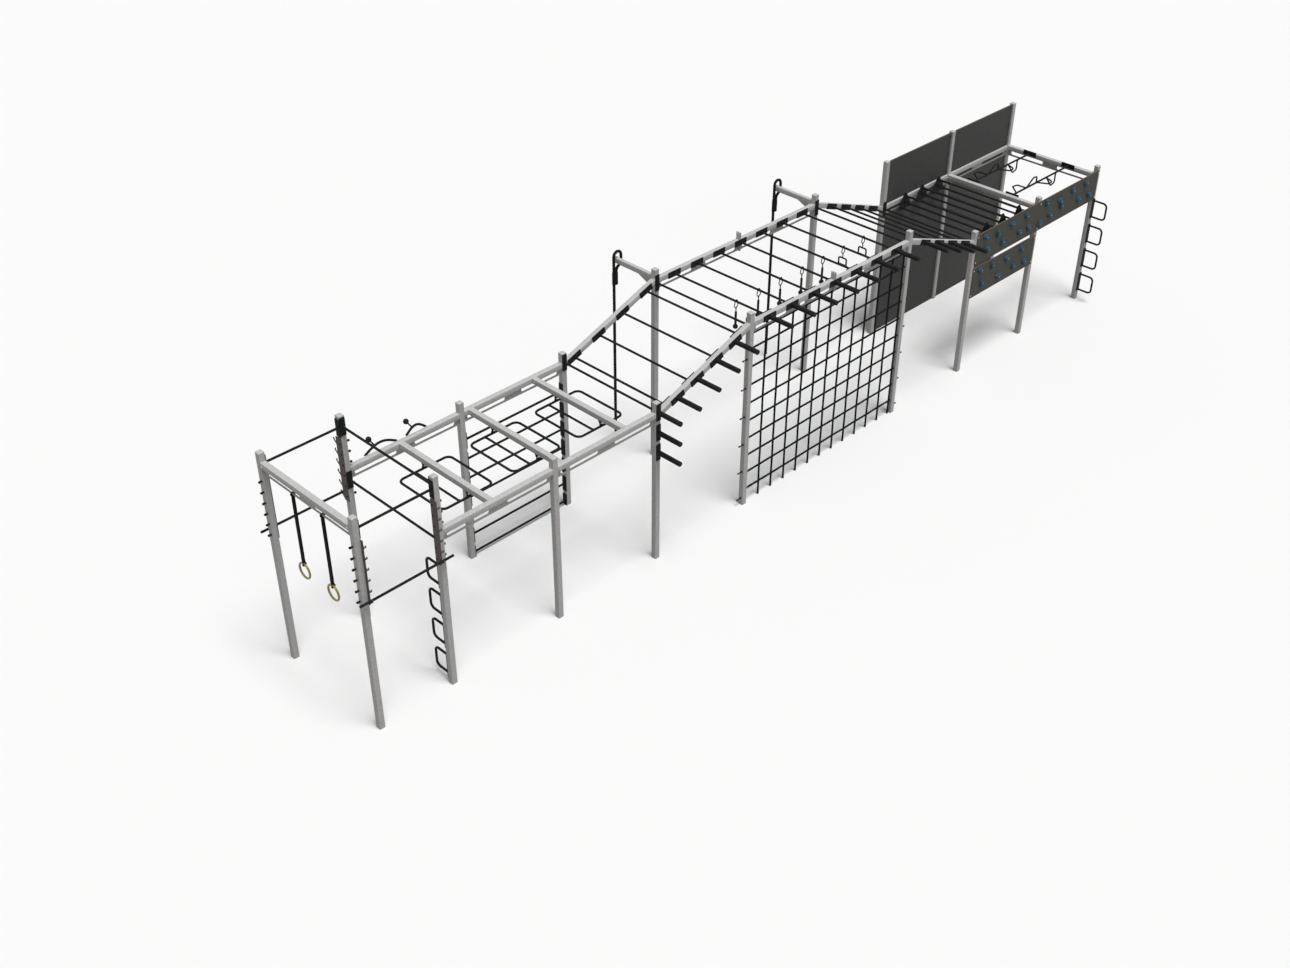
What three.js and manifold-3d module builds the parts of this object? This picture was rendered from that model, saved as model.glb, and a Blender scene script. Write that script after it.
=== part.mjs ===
// Ninja obstacle frame: two rows of square posts joined by slotted rails, fitted out with
// climbing, hanging and swinging stations along eight bays. Millimetres, +Z up, X along the
// course, Y from the front row to the back row, origin at the foot of the first front post.

import * as THREE from 'three';
import { mergeVertices } from 'three/addons/utils/BufferGeometryUtils.js';
import Module from 'manifold-3d';

const wasm = await Module();
wasm.setup();

// Course layout: distances between post columns and rows
const entryPitch = 1120;
const bayPitch = 1800;
const highPitch = 3520;
const rowPitch = 1800;

// Posts and caps
const postSize = 80;
const tallPost = 3160;
const shortPost = 2540;
const capLip = 2;
const capBand = 8;
const capRise = 14;
const capTop = 52;

// Rails: a square tube with a slotted web plate below it
const railSize = 80;
const railDrop = 155;
const endBeamDrop = 130;
const webDepth = 105;
const webThick = 10;
const slotHeight = 65;
const slotEnd = 70;
const slotWeb = 290;
const slotCorner = 25;
const slotCornerSteps = 1;
const flangeThick = 10;
const flangeRise = 110;

// Clearance between seated pieces, and overrun of joins and cuts
const seat = 0.3;
const overrun = 1;

// Bars and their bolted end plates
const barRadius = 16.5;
const barSides = 8;
const crossBarSides = 6;
const plateLength = 250;
const plateWidth = 80;
const plateThick = 10;
const pullUpDrop = 180;
const crossHighDrop = 160;
const crossLowDrop = 165;

// Salmon ladder
const hookCount = 6;
const hookPitch = 156;
const hookTopDrop = 385;
const hookFootDrop = 115;
const hookPlateThick = 10;
const hookReach = 50;
const hookPocket = 18;
const hookTip = 7;
const hookTipRise = 20;
const hookRoot = 55;
const hookSeatSteps = 2;
const hookBoltRadius = 11;
const hookBoltLength = 34;
const hookBoltSides = 5;
const salmonOverhang = 115;

// Rings and straps
const ringSpacing = 580;
const ringShift = 15;
const ringRadius = 104;
const ringTube = 14;
const ringSegments = 16;
const ringSides = 6;
const ringDrop = 1135;
const strapWidth = 30;
const strapThick = 5;
const strapLoopSteps = 6;

// D-shaped steps
const stepCount = 4;
const stepPitch = 470;
const stepTopFront = 1825;
const stepTopFar = 1902;
const stepPlate = 350;
const stepDrop = 300;
const stepReach = 262;
const stepTopInset = 28;
const stepBend = 45;
const stepBendSteps = 2;
const stepSides = 6;

// Ball horns on the back rail
const hornChordLong = 495;
const hornChordShort = 312;
const hornStartLong = 276;
const hornStartShort = 923;
const hornDrop = 10;
const hornRise = 95;
const hornArcSteps = 5;
const hornStem = 130;
const hornBall = 38;
const hornBallShare = 0.34;
const hornStemShare = 0.6;
const hornBallSegments = 8;
const hornBallRings = 5;
const hornWeld = 4;

// Tilting ladders and the cross beams that carry them
const beamFirst = 820;
const beamSecond = 150;
const beamThird = 1250;
const ladderLength = 800;
const ladderWidth = 870;
const ladderCorner = 80;
const ladderCornerSteps = 2;
const ladderSides = 6;
const ladderInner = 133;
const innerBarShare = 0.95;
const pivotDrop = 55;
const frameDrop = 50;
const pivotHub = 22;
const pivotHubSides = 8;
const pivotHubShare = 0.9;
const pivotPin = 8;
const pivotPinSides = 6;
const pivotHead = 14;
const pivotHeadSides = 6;
const pivotHeadThick = 8;
const pivotPlate = 10;
const pivotSpread = 36;

// Stall bars
const stallCount = 7;
const stallFirst = 65;
const stallTopDrop = 269;

// Rungs and pegs
const pegRadius = 35;
const pegLength = 400;
const pegSides = 7;
const postPegCount = 3;
const postPegPitch = 310;
const climbRungCount = 4;
const climbRungFirst = 188;
const climbRungPitch = 463;
const climbPegCount = 4;
const climbPegFirst = 360;
const climbPegPitch = 366;
const descentCount = 4;
const descentFirst = 380;
const descentPitch = 366;
const highRungCount = 7;
const highRungPitch = 470;
const postRungShortDrop = 150;
const postRungHighDrop = 220;
const postRungLowDrop = 55;

// Hanging grips
const gripRow = 570;
const gripBallCount = 5;
const gripLinkWire = 6;
const gripLinkWidth = 12;
const gripLinkLength = 70;
const gripLinkSteps = 3;
const gripNeck = 8;
const gripSleeve = 15;
const gripSleeveLength = 190;
const gripBall = 37;
const gripDrop = 380;
const gripSides = 6;
const gripBallSegments = 8;
const gripBallRings = 4;
const stirrupDrop = 295;
const stirrupWidth = 130;
const stirrupHeight = 110;
const stirrupTube = 10;
const stirrupGrip = 15;
const stirrupBend = 20;
const stirrupBendSteps = 2;

// Cargo net
const netColumns = 12;
const netRows = 9;
const netSide = 167;
const netFoot = 12;
const netFirstRow = 233;
const netHeadGap = 236;
const netRope = 10;
const netBoltCount = 6;
const netBoltFirst = 109;
const netBoltPitch = 465;
const netBoltRadius = 12;
const netBoltReach = 90;
const netBoltSides = 5;

// Arms and climbing ropes
const armTopDrop = 110;
const armWidth = 60;
const armDepth = 80;
const armReach = 780;
const armGussetReach = 330;
const armGussetDrop = 145;
const armGussetThick = 10;
const armHoleRadius = 10;
const armHoleReach = 80;
const armHoleDrop = 20;
const armPinRadius = 9;
const ropeRadius = 22;
const ropeSides = 8;
const ropeInset = 55;
const ropeEyeHalf = 72;
const strandPitch = 46;
const bindingFoot = 2640;
const bindingTop = 2825;
const bindingThick = 4;
const bindingArcSteps = 2;

// Paired bars in the seventh bay
const pairCount = 3;
const pairFirst = 540;
const pairPitch = 480;
const pairSpread = 90;
const pairTilt = 20;
const pairPlateLength = 250;
const pairPlateWidth = 150;
const pairPlateThick = 20;
const pairDrop = 80;
const pairTurn = 35;
const pairSides = 6;

// Loop bars in the last bay
const snakeRowFront = 530;
const snakeRowBack = 1300;
const snakeDrop = 10;
const snakePitch = 302;
const snakeFirst = 387;
const snakeBase = 290;
const snakeReach = 205;
const snakeReachShares = [1, 0.7, 0.6, 0.95];
const snakeApexShare = 0.62;
const snakeFarShare = 0.9;
const snakeBend = 32;
const snakeBendSteps = 2;
const snakeLoopRadius = 13;
const snakeLoopSides = 5;
const snakeTurns = [0, -75, -180, -271];

// Climbing boards and holds
const boardThick = 15;
const boardHeight = 530;
const boardTopDrop = 70;
const boardGap = 60;
const boardInset = 20;
const holdTopCount = 9;
const holdLowCount = 8;
const holdShortCount = 4;
const holdPitch = 400;
const holdFirst = 220;
const holdStagger = 100;
const holdUpperShare = 0.84;
const holdLowerShare = 0.34;
const holdFoot = 42;
const holdFace = 24;
const holdDepth = 45;
const holdSides = 5;

// Wall panels
const wallThick = 20;
const wallTopDrop = 25;

// Derived places
const columns = [0, entryPitch];
columns.push(columns[1] + bayPitch);
columns.push(columns[2] + bayPitch);
columns.push(columns[3] + bayPitch);
columns.push(columns[4] + highPitch);
columns.push(columns[5] + bayPitch);
columns.push(columns[6] + bayPitch);
columns.push(columns[7] + bayPitch);
const halfPost = postSize / 2;
const halfRail = railSize / 2;
const lowTop = shortPost - railDrop;
const highTop = tallPost - railDrop;
const railDepth = railSize + webDepth;
const armTop = tallPost - armTopDrop;
const ropeReach = halfPost + armReach - ropeInset;
const hookFirst = tallPost - hookTopDrop - (hookCount - 1) * hookPitch;
const hookPlateFoot = hookFirst - hookFootDrop;
const stallTop = lowTop - railDepth - stallTopDrop;
const stallPitch = (stallTop - stallFirst) / (stallCount - 1);

// Colours and finishes
const frameGrey = { color: 0xb9b6b2, roughness: 0.55, metalness: 0.2 };
const fittingBlack = { color: 0x1d1f20, roughness: 0.5, metalness: 0.3 };
const ropeBlack = { color: 0x1c2622, roughness: 0.9, metalness: 0 };
const ringWood = { color: 0xc99a4b, roughness: 0.6, metalness: 0 };
const boardBrown = { color: 0x5a5754, roughness: 0.7, metalness: 0 };
const wallGrey = { color: 0x3b3b3b, roughness: 0.75, metalness: 0 };

// Solid helpers
function solid(geometry) {
  geometry.deleteAttribute('normal');
  geometry.deleteAttribute('uv');
  const merged = mergeVertices(geometry);
  const mesh = new wasm.Mesh({
    numProp: 3,
    vertProperties: Float32Array.from(merged.attributes.position.array),
    triVerts: Uint32Array.from(merged.index.array),
  });
  return new wasm.Manifold(mesh);
}

function joined(solids) {
  return solids.reduce((whole, piece) => whole.add(piece));
}

function block(x0, x1, y0, y1, z0, z1) {
  const geometry = new THREE.BoxGeometry(x1 - x0, y1 - y0, z1 - z0);
  geometry.translate((x0 + x1) / 2, (y0 + y1) / 2, (z0 + z1) / 2);
  return solid(geometry);
}

function rod(from, to, radius, sides, endRadius = radius) {
  const run = to.clone().sub(from);
  const geometry = new THREE.CylinderGeometry(endRadius, radius, run.length(), sides);
  const up = new THREE.Vector3(0, 1, 0);
  geometry.applyQuaternion(new THREE.Quaternion().setFromUnitVectors(up, run.normalize()));
  const middle = from.clone().add(to).multiplyScalar(0.5);
  geometry.translate(middle.x, middle.y, middle.z);
  return solid(geometry);
}

function point(x, y, z) {
  return new THREE.Vector3(x, y, z);
}

function circle(radius, sides) {
  const shape = new THREE.Shape();
  for (let i = 0; i < sides; i++) {
    const angle = (2 * Math.PI * (i + 0.5)) / sides;
    const x = radius * Math.cos(angle);
    const y = radius * Math.sin(angle);
    if (i === 0) shape.moveTo(x, y);
    else shape.lineTo(x, y);
  }
  shape.closePath();
  return shape;
}

// A route through given stations, one section of the tube at each
class StationRoute extends THREE.Curve {
  constructor(stations) {
    super();
    this.stations = stations;
  }

  index(share) {
    return Math.round(share * (this.stations.length - 1));
  }

  getPoint(share, target = new THREE.Vector3()) {
    return target.copy(this.stations[this.index(share)]);
  }

  getPointAt(share, target) {
    return this.getPoint(share, target);
  }

  getTangent(share, target = new THREE.Vector3()) {
    const i = this.index(share);
    const last = this.stations.length - 1;
    const here = this.stations[i];
    target.set(0, 0, 0);
    if (i > 0) target.add(here.clone().sub(this.stations[i - 1]).normalize());
    if (i < last) target.add(this.stations[i + 1].clone().sub(here).normalize());
    return target.normalize();
  }

  getTangentAt(share, target) {
    return this.getTangent(share, target);
  }
}

// Corner points turned into stations with rounded bends
function bentStations(corners, bend, bendSteps) {
  const stations = [corners[0].clone()];
  for (let i = 1; i < corners.length - 1; i++) {
    const corner = corners[i];
    const back = corners[i - 1].clone().sub(corner).normalize();
    const ahead = corners[i + 1].clone().sub(corner).normalize();
    const half = back.angleTo(ahead) / 2;
    const centre = back.clone().add(ahead).normalize();
    centre.multiplyScalar(bend / Math.sin(half)).add(corner);
    const start = back.clone().multiplyScalar(bend / Math.tan(half)).add(corner).sub(centre);
    const end = ahead.clone().multiplyScalar(bend / Math.tan(half)).add(corner).sub(centre);
    const sweep = start.angleTo(end);
    for (let s = 0; s <= bendSteps; s++) {
      const turn = (s / bendSteps) * sweep;
      const here = start.clone().multiplyScalar(Math.sin(sweep - turn) / Math.sin(sweep));
      here.addScaledVector(end, Math.sin(turn) / Math.sin(sweep));
      stations.push(here.add(centre));
    }
  }
  stations.push(corners[corners.length - 1].clone());
  return stations;
}

function tubeAlong(stations, radius, sides) {
  const geometry = new THREE.ExtrudeGeometry(circle(radius, sides), {
    steps: stations.length - 1,
    extrudePath: new StationRoute(stations),
    bevelEnabled: false,
  });
  return solid(geometry);
}

function bentTube(corners, radius, sides, bend, bendSteps) {
  return tubeAlong(bentStations(corners, bend, bendSteps), radius, sides);
}

// A flat plate cut from an outline in X and Z, thick along Y from y0 to y1
function profilePlate(shape, y0, y1, curveSegments = 1) {
  const geometry = new THREE.ExtrudeGeometry(shape, {
    depth: y1 - y0,
    bevelEnabled: false,
    curveSegments,
  });
  geometry.rotateX(Math.PI / 2);
  geometry.translate(0, y1, 0);
  return solid(geometry);
}

function outline(points) {
  const shape = new THREE.Shape();
  points.forEach(([x, z], i) => (i === 0 ? shape.moveTo(x, z) : shape.lineTo(x, z)));
  shape.closePath();
  return shape;
}

const group = new THREE.Group();
group.name = 'ninja_obstacle_frame';

function place(name, piece, finish, x = 0, y = 0, z = 0) {
  const { vertProperties, triVerts, numProp } = piece.getMesh();
  const geometry = new THREE.BufferGeometry();
  const positions = new THREE.BufferAttribute(new Float32Array(vertProperties), numProp);
  geometry.setAttribute('position', positions);
  geometry.setIndex(new THREE.BufferAttribute(new Uint32Array(triVerts), 1));
  geometry.computeVertexNormals();
  const mesh = new THREE.Mesh(geometry, new THREE.MeshStandardMaterial(finish));
  mesh.name = name;
  mesh.position.set(x, y, z);
  group.add(mesh);
}

// Posts
function postBody(height) {
  const band = halfPost + capLip;
  const bandTop = height - capRise;
  const crown = new THREE.CylinderGeometry(capTop / Math.SQRT2, band * Math.SQRT2, capRise, 4);
  crown.rotateX(Math.PI / 2);
  crown.rotateZ(Math.PI / 4);
  crown.translate(0, 0, height - capRise / 2);
  return joined([
    block(-halfPost, halfPost, -halfPost, halfPost, 0, bandTop),
    block(-band, band, -band, band, bandTop - capBand, bandTop),
    solid(crown),
  ]);
}

// A fitting drawn on the +X face of a post, turned to another face
function turned(piece, degrees) {
  return piece.rotate([0, 0, degrees]);
}

function facePlate(height, length = plateLength) {
  const low = Math.max(0, height - length / 2);
  const half = plateWidth / 2;
  return block(halfPost - overrun, halfPost + plateThick, -half, half, low, height + length / 2);
}

// A bar from the +X face of a post across to the next post, with a plate at each end
function crossBar(height, pitch) {
  const far = pitch - halfPost - seat;
  const low = Math.max(0, height - plateLength / 2);
  const half = plateWidth / 2;
  return joined([
    facePlate(height),
    rod(point(halfPost, 0, height), point(far - overrun, 0, height), barRadius, crossBarSides),
    block(far - plateThick, far, -half, half, low, height + plateLength / 2),
  ]);
}

// A peg that stands out of the +X face of a post
function facePeg(height) {
  const from = point(halfPost, 0, height);
  const to = point(halfPost + plateThick + pegLength, 0, height);
  return joined([facePlate(height), rod(from, to, pegRadius, pegSides)]);
}

// Salmon-ladder plate on the +X face, hooks reaching out past the -Y face, its through-bolts
// showing on the -X face except where a low rail's end covers them
function hookPlate(railBehind = false) {
  const edge = -halfPost;
  const pocketY = edge - hookReach;
  const facet = hookPocket / Math.cos(Math.PI / 2 / hookSeatSteps);
  const tipY = pocketY - facet - hookTip;
  const top = hookFirst + (hookCount - 1) * hookPitch + hookRoot;
  const points = [[halfPost, hookPlateFoot], [edge, hookPlateFoot]];
  for (let k = 0; k < hookCount; k++) {
    const z = hookFirst + k * hookPitch;
    points.push([edge, z - hookRoot]);
    points.push([tipY, z - hookPocket]);
    points.push([tipY, z + hookTipRise]);
    points.push([pocketY - facet, z + hookTipRise]);
    for (let s = 0; s <= hookSeatSteps; s++) {
      const angle = Math.PI + (s / hookSeatSteps) * Math.PI;
      points.push([pocketY + facet * Math.cos(angle), z + facet * Math.sin(angle)]);
    }
    points.push([edge, z + hookPocket]);
  }
  points.push([edge, top], [halfPost, top]);
  const plate = profilePlate(outline(points.reverse()), 0, hookPlateThick + overrun);
  const onFace = plate.rotate([0, 0, 90]).translate([halfPost + hookPlateThick, 0, 0]);
  const bolts = [];
  for (let k = 0; k < hookCount; k++) {
    const z = hookFirst + k * hookPitch;
    const from = point(-halfPost + overrun, 0, z);
    const to = point(-halfPost - hookBoltLength, 0, z);
    const reach = hookBoltRadius + seat;
    const covered = railBehind && z + reach > lowTop - railDepth && z - reach < lowTop;
    if (!covered) bolts.push(rod(from, to, hookBoltRadius, hookBoltSides));
  }
  return joined([onFace, ...bolts]);
}

// D-shaped steps on the +X face, one above the other
function stepSet(topHeight) {
  const pieces = [];
  for (let k = 0; k < stepCount; k++) {
    const z = topHeight - k * stepPitch;
    const plateMiddle = z + stepTopInset - stepPlate / 2;
    const root = halfPost + plateThick / 2;
    const out = halfPost + stepReach;
    const corners = [
      point(root, 0, z),
      point(out, 0, z),
      point(out, 0, z - stepDrop),
      point(root, 0, z - stepDrop),
    ];
    pieces.push(facePlate(plateMiddle, stepPlate));
    pieces.push(bentTube(corners, barRadius, stepSides, stepBend, stepBendSteps));
  }
  return joined(pieces);
}

// Arm for a climbing rope on the +X face: a tube, its drilled gusset and the pin that the
// rope's eye is held on
function ropeArm() {
  const root = halfPost - overrun;
  const armFoot = armTop - armDepth;
  const gusset = outline([
    [root, armFoot - armGussetDrop],
    [halfPost + armGussetReach, armFoot],
    [halfPost + armGussetReach, armFoot + overrun],
    [root, armFoot + overrun],
  ]);
  const half = armGussetThick / 2;
  const holeX = halfPost + armHoleReach;
  const holeZ = armFoot - armHoleDrop;
  const hole = rod(point(holeX, -armGussetThick, holeZ), point(holeX, armGussetThick, holeZ),
    armHoleRadius, barSides);
  const pinEnd = ropeEyeHalf - ropeRadius * Math.cos(Math.PI / ropeSides) - seat;
  const pinZ = armTop - armDepth / 2;
  return joined([
    block(root, halfPost + armReach, -armWidth / 2, armWidth / 2, armFoot, armTop),
    profilePlate(gusset, -half, half).subtract(hole),
    rod(point(ropeReach, -pinEnd, pinZ), point(ropeReach, pinEnd, pinZ), armPinRadius, barSides),
  ]);
}

// Net bolts standing out of the +X face of a post
function netBolts() {
  const pieces = [];
  for (let k = 0; k < netBoltCount; k++) {
    const z = netBoltFirst + k * netBoltPitch;
    const end = halfPost + netBoltReach;
    pieces.push(rod(point(halfPost - overrun, 0, z), point(end, 0, z), netBoltRadius, netBoltSides));
  }
  return joined(pieces);
}

const entryBar = tallPost - pullUpDrop;
const frontTall = [true, true, false, false, true, true, false, false, false];
const backTall = [true, true, false, false, true, true, true, true, true];
const postPegs = [];
for (let k = 0; k < postPegCount; k++) {
  postPegs.push(turned(facePeg(shortPost - postRungShortDrop - k * postPegPitch), -90));
}
const frontFittings = {
  0: [crossBar(entryBar, entryPitch), hookPlate()],
  1: [hookPlate(true).mirror([1, 0, 0]), turned(stepSet(stepTopFront), 90)],
  3: postPegs,
  4: [netBolts().mirror([1, 0, 0])],
  5: [netBolts()],
  8: [turned(stepSet(stepTopFar), -90)],
};
const stallBars = [];
for (let k = 0; k < stallCount; k++) stallBars.push(crossBar(stallFirst + k * stallPitch, bayPitch));
const backFittings = {
  0: [crossBar(entryBar, entryPitch), hookPlate().mirror([0, 1, 0])],
  1: [
    hookPlate(true).mirror([0, 1, 0]).mirror([1, 0, 0]),
    turned(crossBar(tallPost - crossHighDrop, rowPitch), -90),
    turned(crossBar(lowTop - crossLowDrop, rowPitch), -90),
  ],
  2: stallBars,
  3: [turned(crossBar(shortPost - postRungShortDrop, rowPitch), -90)],
  4: [turned(crossBar(tallPost - postRungHighDrop, rowPitch), -90), turned(ropeArm(), 90)],
  5: [turned(crossBar(tallPost - postRungHighDrop, rowPitch), -90), turned(ropeArm(), 90)],
  6: [turned(crossBar(lowTop - postRungLowDrop, rowPitch), -90)],
};
columns.forEach((x, i) => {
  const front = postBody(frontTall[i] ? tallPost : shortPost);
  const back = postBody(backTall[i] ? tallPost : shortPost);
  place(`post_f${i}`, joined([front, ...(frontFittings[i] ?? [])]), frameGrey, x, 0);
  place(`post_b${i}`, joined([back, ...(backFittings[i] ?? [])]), frameGrey, x, rowPitch);
});

// Slotted rail along X, centred on Y, its top at z = 0, from x = 0 to the given length
function slottedRail(length) {
  const shape = outline([
    [0, -railSize + overrun],
    [0, -railDepth],
    [length, -railDepth],
    [length, -railSize + overrun],
  ]);
  const slotTop = -railSize;
  const slotLow = slotTop - slotHeight;
  const runs = [
    [slotEnd, (length - slotWeb) / 2],
    [(length + slotWeb) / 2, length - slotEnd],
  ];
  const cuts = runs.map(([x0, x1]) => {
    const r = slotCorner;
    const hole = new THREE.Shape();
    hole.moveTo(x0 + r, slotLow);
    hole.lineTo(x1 - r, slotLow);
    hole.absarc(x1 - r, slotLow + r, r, -Math.PI / 2, 0, false);
    hole.lineTo(x1, slotTop - r);
    hole.absarc(x1 - r, slotTop - r, r, 0, Math.PI / 2, false);
    hole.lineTo(x0 + r, slotTop);
    hole.absarc(x0 + r, slotTop - r, r, Math.PI / 2, Math.PI, false);
    hole.lineTo(x0, slotLow + r);
    hole.absarc(x0 + r, slotLow + r, r, Math.PI, 1.5 * Math.PI, false);
    return profilePlate(hole, -webThick, webThick, slotCornerSteps);
  });
  const web = cuts.reduce(
    (plate, cut) => plate.subtract(cut),
    profilePlate(shape, -webThick / 2, webThick / 2),
  );
  return block(0, length, -halfRail, halfRail, -railSize, 0).add(web);
}

// Bay length between post faces, with the seat clearance at both ends
function between(pitch) {
  return pitch - postSize - 2 * seat;
}
const bayLength = between(bayPitch);
const crossLength = between(rowPitch);
const railStart = halfPost + seat;

function crossways(piece) {
  return piece.rotate([0, 0, 90]);
}

// End beam and cross rails
const endBeamTop = tallPost - endBeamDrop;
const endBeam = crossways(slottedRail(crossLength));
place('end_beam', endBeam, frameGrey, columns[0], railStart, endBeamTop);

// Low rails of the second and third bays, the first back one with the ball horns
function horn(start, chord) {
  const y = halfRail + barRadius - hornWeld;
  const stations = [];
  for (let s = 0; s <= hornArcSteps; s++) {
    const share = s / hornArcSteps;
    const rise = hornRise * Math.sin(Math.PI * share);
    stations.push(point(start + chord * share, y, -hornDrop + rise));
  }
  const top = stations[Math.round(hornBallShare * hornArcSteps)].clone();
  const tip = top.clone().add(point(0, hornStem, 0));
  const ball = new THREE.SphereGeometry(hornBall, hornBallSegments, hornBallRings);
  ball.translate(tip.x, tip.y, tip.z);
  return joined([
    tubeAlong(stations, barRadius, barSides),
    rod(top, tip, barRadius * hornStemShare, barSides),
    solid(ball),
  ]);
}
const hornRail = joined([
  slottedRail(bayLength),
  horn(hornStartLong, hornChordLong),
  horn(hornStartShort, hornChordShort),
]);
place('rail_f1', slottedRail(bayLength), frameGrey, columns[1] + railStart, 0, lowTop);
place('rail_f2', slottedRail(bayLength), frameGrey, columns[2] + railStart, 0, lowTop);
place('rail_b1', hornRail, frameGrey, columns[1] + railStart, rowPitch, lowTop);
place('rail_b2', slottedRail(bayLength), frameGrey, columns[2] + railStart, rowPitch, lowTop);

// Cross beams with the upper half of each pivot: a plate, a pin and its head.
// Drawn along X with the beam's top at z = 0, then turned across the course.
const ladderY = ladderWidth / 2;
const pivotZ = -railSize - pivotDrop;
function upperPivot(side) {
  const inner = ladderY - pivotPlate / 2 - seat - pivotPlate;
  const outer = ladderY + pivotPlate / 2 + seat + pivotHeadThick;
  const plate = outline([
    [-halfRail, overrun],
    [-pivotHub * pivotHubShare, -pivotDrop],
    [pivotHub * pivotHubShare, -pivotDrop],
    [halfRail, overrun],
  ]);
  const y = (value) => side * value;
  const y0 = Math.min(y(inner), y(inner + pivotPlate));
  const pieces = [
    profilePlate(plate, y0, y0 + pivotPlate),
    rod(point(0, y(inner), -pivotDrop), point(0, y(inner + pivotPlate), -pivotDrop),
      pivotHub, pivotHubSides),
    rod(point(0, y(inner), -pivotDrop), point(0, y(outer), -pivotDrop), pivotPin, pivotPinSides),
    rod(point(0, y(outer - pivotHeadThick), -pivotDrop), point(0, y(outer), -pivotDrop),
      pivotHead, pivotHeadSides),
  ];
  return joined(pieces);
}
const crossBeam = joined([
  block(-halfRail, halfRail, -crossLength / 2, crossLength / 2, -railSize, 0),
  upperPivot(1).translate([0, 0, -railSize]),
  upperPivot(-1).translate([0, 0, -railSize]),
]);

// Ladder frame about its pivot: rounded tube frame, inner rungs, lower pivot plates
function tiltingLadder() {
  const x = ladderLength / 2;
  const halves = [1, -1].map((side) => bentTube([
    point(0, ladderY, -frameDrop),
    point(side * x, ladderY, -frameDrop),
    point(side * x, -ladderY, -frameDrop),
    point(0, -ladderY, -frameDrop),
  ], barRadius, ladderSides, ladderCorner, ladderCornerSteps));
  const bars = [1, -1].map((side) => rod(
    point(side * ladderInner, -ladderY, -frameDrop),
    point(side * ladderInner, ladderY, -frameDrop),
    barRadius * innerBarShare, ladderSides,
  ));
  const bore = (pivotPin + seat) / Math.cos(Math.PI / pivotPinSides);
  const ears = [1, -1].map((side) => {
    const middle = side * ladderY;
    const plate = outline([
      [-pivotSpread, -frameDrop],
      [pivotSpread, -frameDrop],
      [pivotHub * pivotHubShare, 0],
      [-pivotHub * pivotHubShare, 0],
    ]);
    const half = pivotPlate / 2;
    const hub = rod(point(0, middle - half, 0), point(0, middle + half, 0), pivotHub, pivotHubSides);
    const cut = rod(point(0, middle - pivotPlate, 0), point(0, middle + pivotPlate, 0),
      bore, pivotPinSides);
    return profilePlate(plate, middle - half, middle + half).add(hub).subtract(cut);
  });
  return joined([halves[0].add(halves[1]), ...bars, ...ears]);
}
const ladder = tiltingLadder();
const beams = [columns[1] + beamFirst, columns[2] + beamSecond, columns[2] + beamThird];
beams.forEach((x, i) => {
  place(`cross_beam_${i + 1}`, crossBeam, frameGrey, x, rowPitch / 2, lowTop);
  place(`ladder_${i + 1}`, ladder, fittingBlack, x, rowPitch / 2, lowTop + pivotZ);
});

// Plate and rung or peg fittings on a rail's inner or outer face, x along the rail
function rungSet(x, z, turn) {
  const half = plateLength / 2;
  const y = [halfRail - overrun, halfRail + plateThick];
  const far = [rowPitch - halfRail - plateThick, rowPitch - halfRail + overrun];
  const pad = (y0, y1) => block(-half, half, y0, y1, -plateWidth / 2, plateWidth / 2)
    .rotate([0, turn, 0]).translate([x, 0, z]);
  return joined([
    pad(y[0], y[1]),
    pad(far[0], far[1]),
    rod(point(x, y[0], z), point(x, far[1], z), barRadius, barSides),
  ]);
}

function pegOn(x, z, turn) {
  const half = plateLength / 2;
  const face = -halfRail;
  const pad = block(-half, half, face - plateThick, face + overrun, -plateWidth / 2, plateWidth / 2)
    .rotate([0, turn, 0]).translate([x, 0, z]);
  return pad.add(rod(point(x, face, z), point(x, face - plateThick - pegLength, z),
    pegRadius, pegSides));
}

// Sloping frames: x runs from the low end to the high end, z from the low rail's top
const rise = highTop - lowTop;
const slope = Math.atan2(rise, bayPitch - postSize);
const slopeTurn = -THREE.MathUtils.radToDeg(slope);
function slopingRail() {
  const start = halfPost + seat;
  const end = bayPitch - halfPost - seat;
  const depth = railSize / Math.cos(slope);
  const line = (x) => (x - halfPost) * Math.tan(slope);
  const shape = outline([
    [start, line(start) - depth],
    [end, line(end) - depth],
    [end, line(end)],
    [start, line(start)],
  ]);
  return profilePlate(shape, -halfRail, halfRail);
}
function slopingFrame(rungs, rungFirst, rungPitch, pegs, pegFirst, pegPitch) {
  const drop = halfRail / Math.cos(slope);
  const line = (x) => (x - halfPost) * Math.tan(slope) - drop;
  const pieces = [slopingRail(), slopingRail().translate([0, rowPitch, 0])];
  for (let k = 0; k < rungs; k++) {
    const x = rungFirst + k * rungPitch;
    pieces.push(rungSet(x, line(x), slopeTurn));
  }
  for (let k = 0; k < pegs; k++) {
    const x = pegFirst + k * pegPitch;
    pieces.push(pegOn(x, line(x), slopeTurn));
  }
  return joined(pieces);
}
place('frame_climb', slopingFrame(climbRungCount, climbRungFirst, climbRungPitch,
  climbPegCount, climbPegFirst, climbPegPitch), frameGrey, columns[3], 0, lowTop);
const descentLow = bayPitch - descentFirst - (descentCount - 1) * descentPitch;
const descent = slopingFrame(descentCount, descentLow, descentPitch,
  descentCount, descentLow, descentPitch).mirror([1, 0, 0]);
place('frame_descent', descent, frameGrey, columns[6], 0, lowTop);

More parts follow.
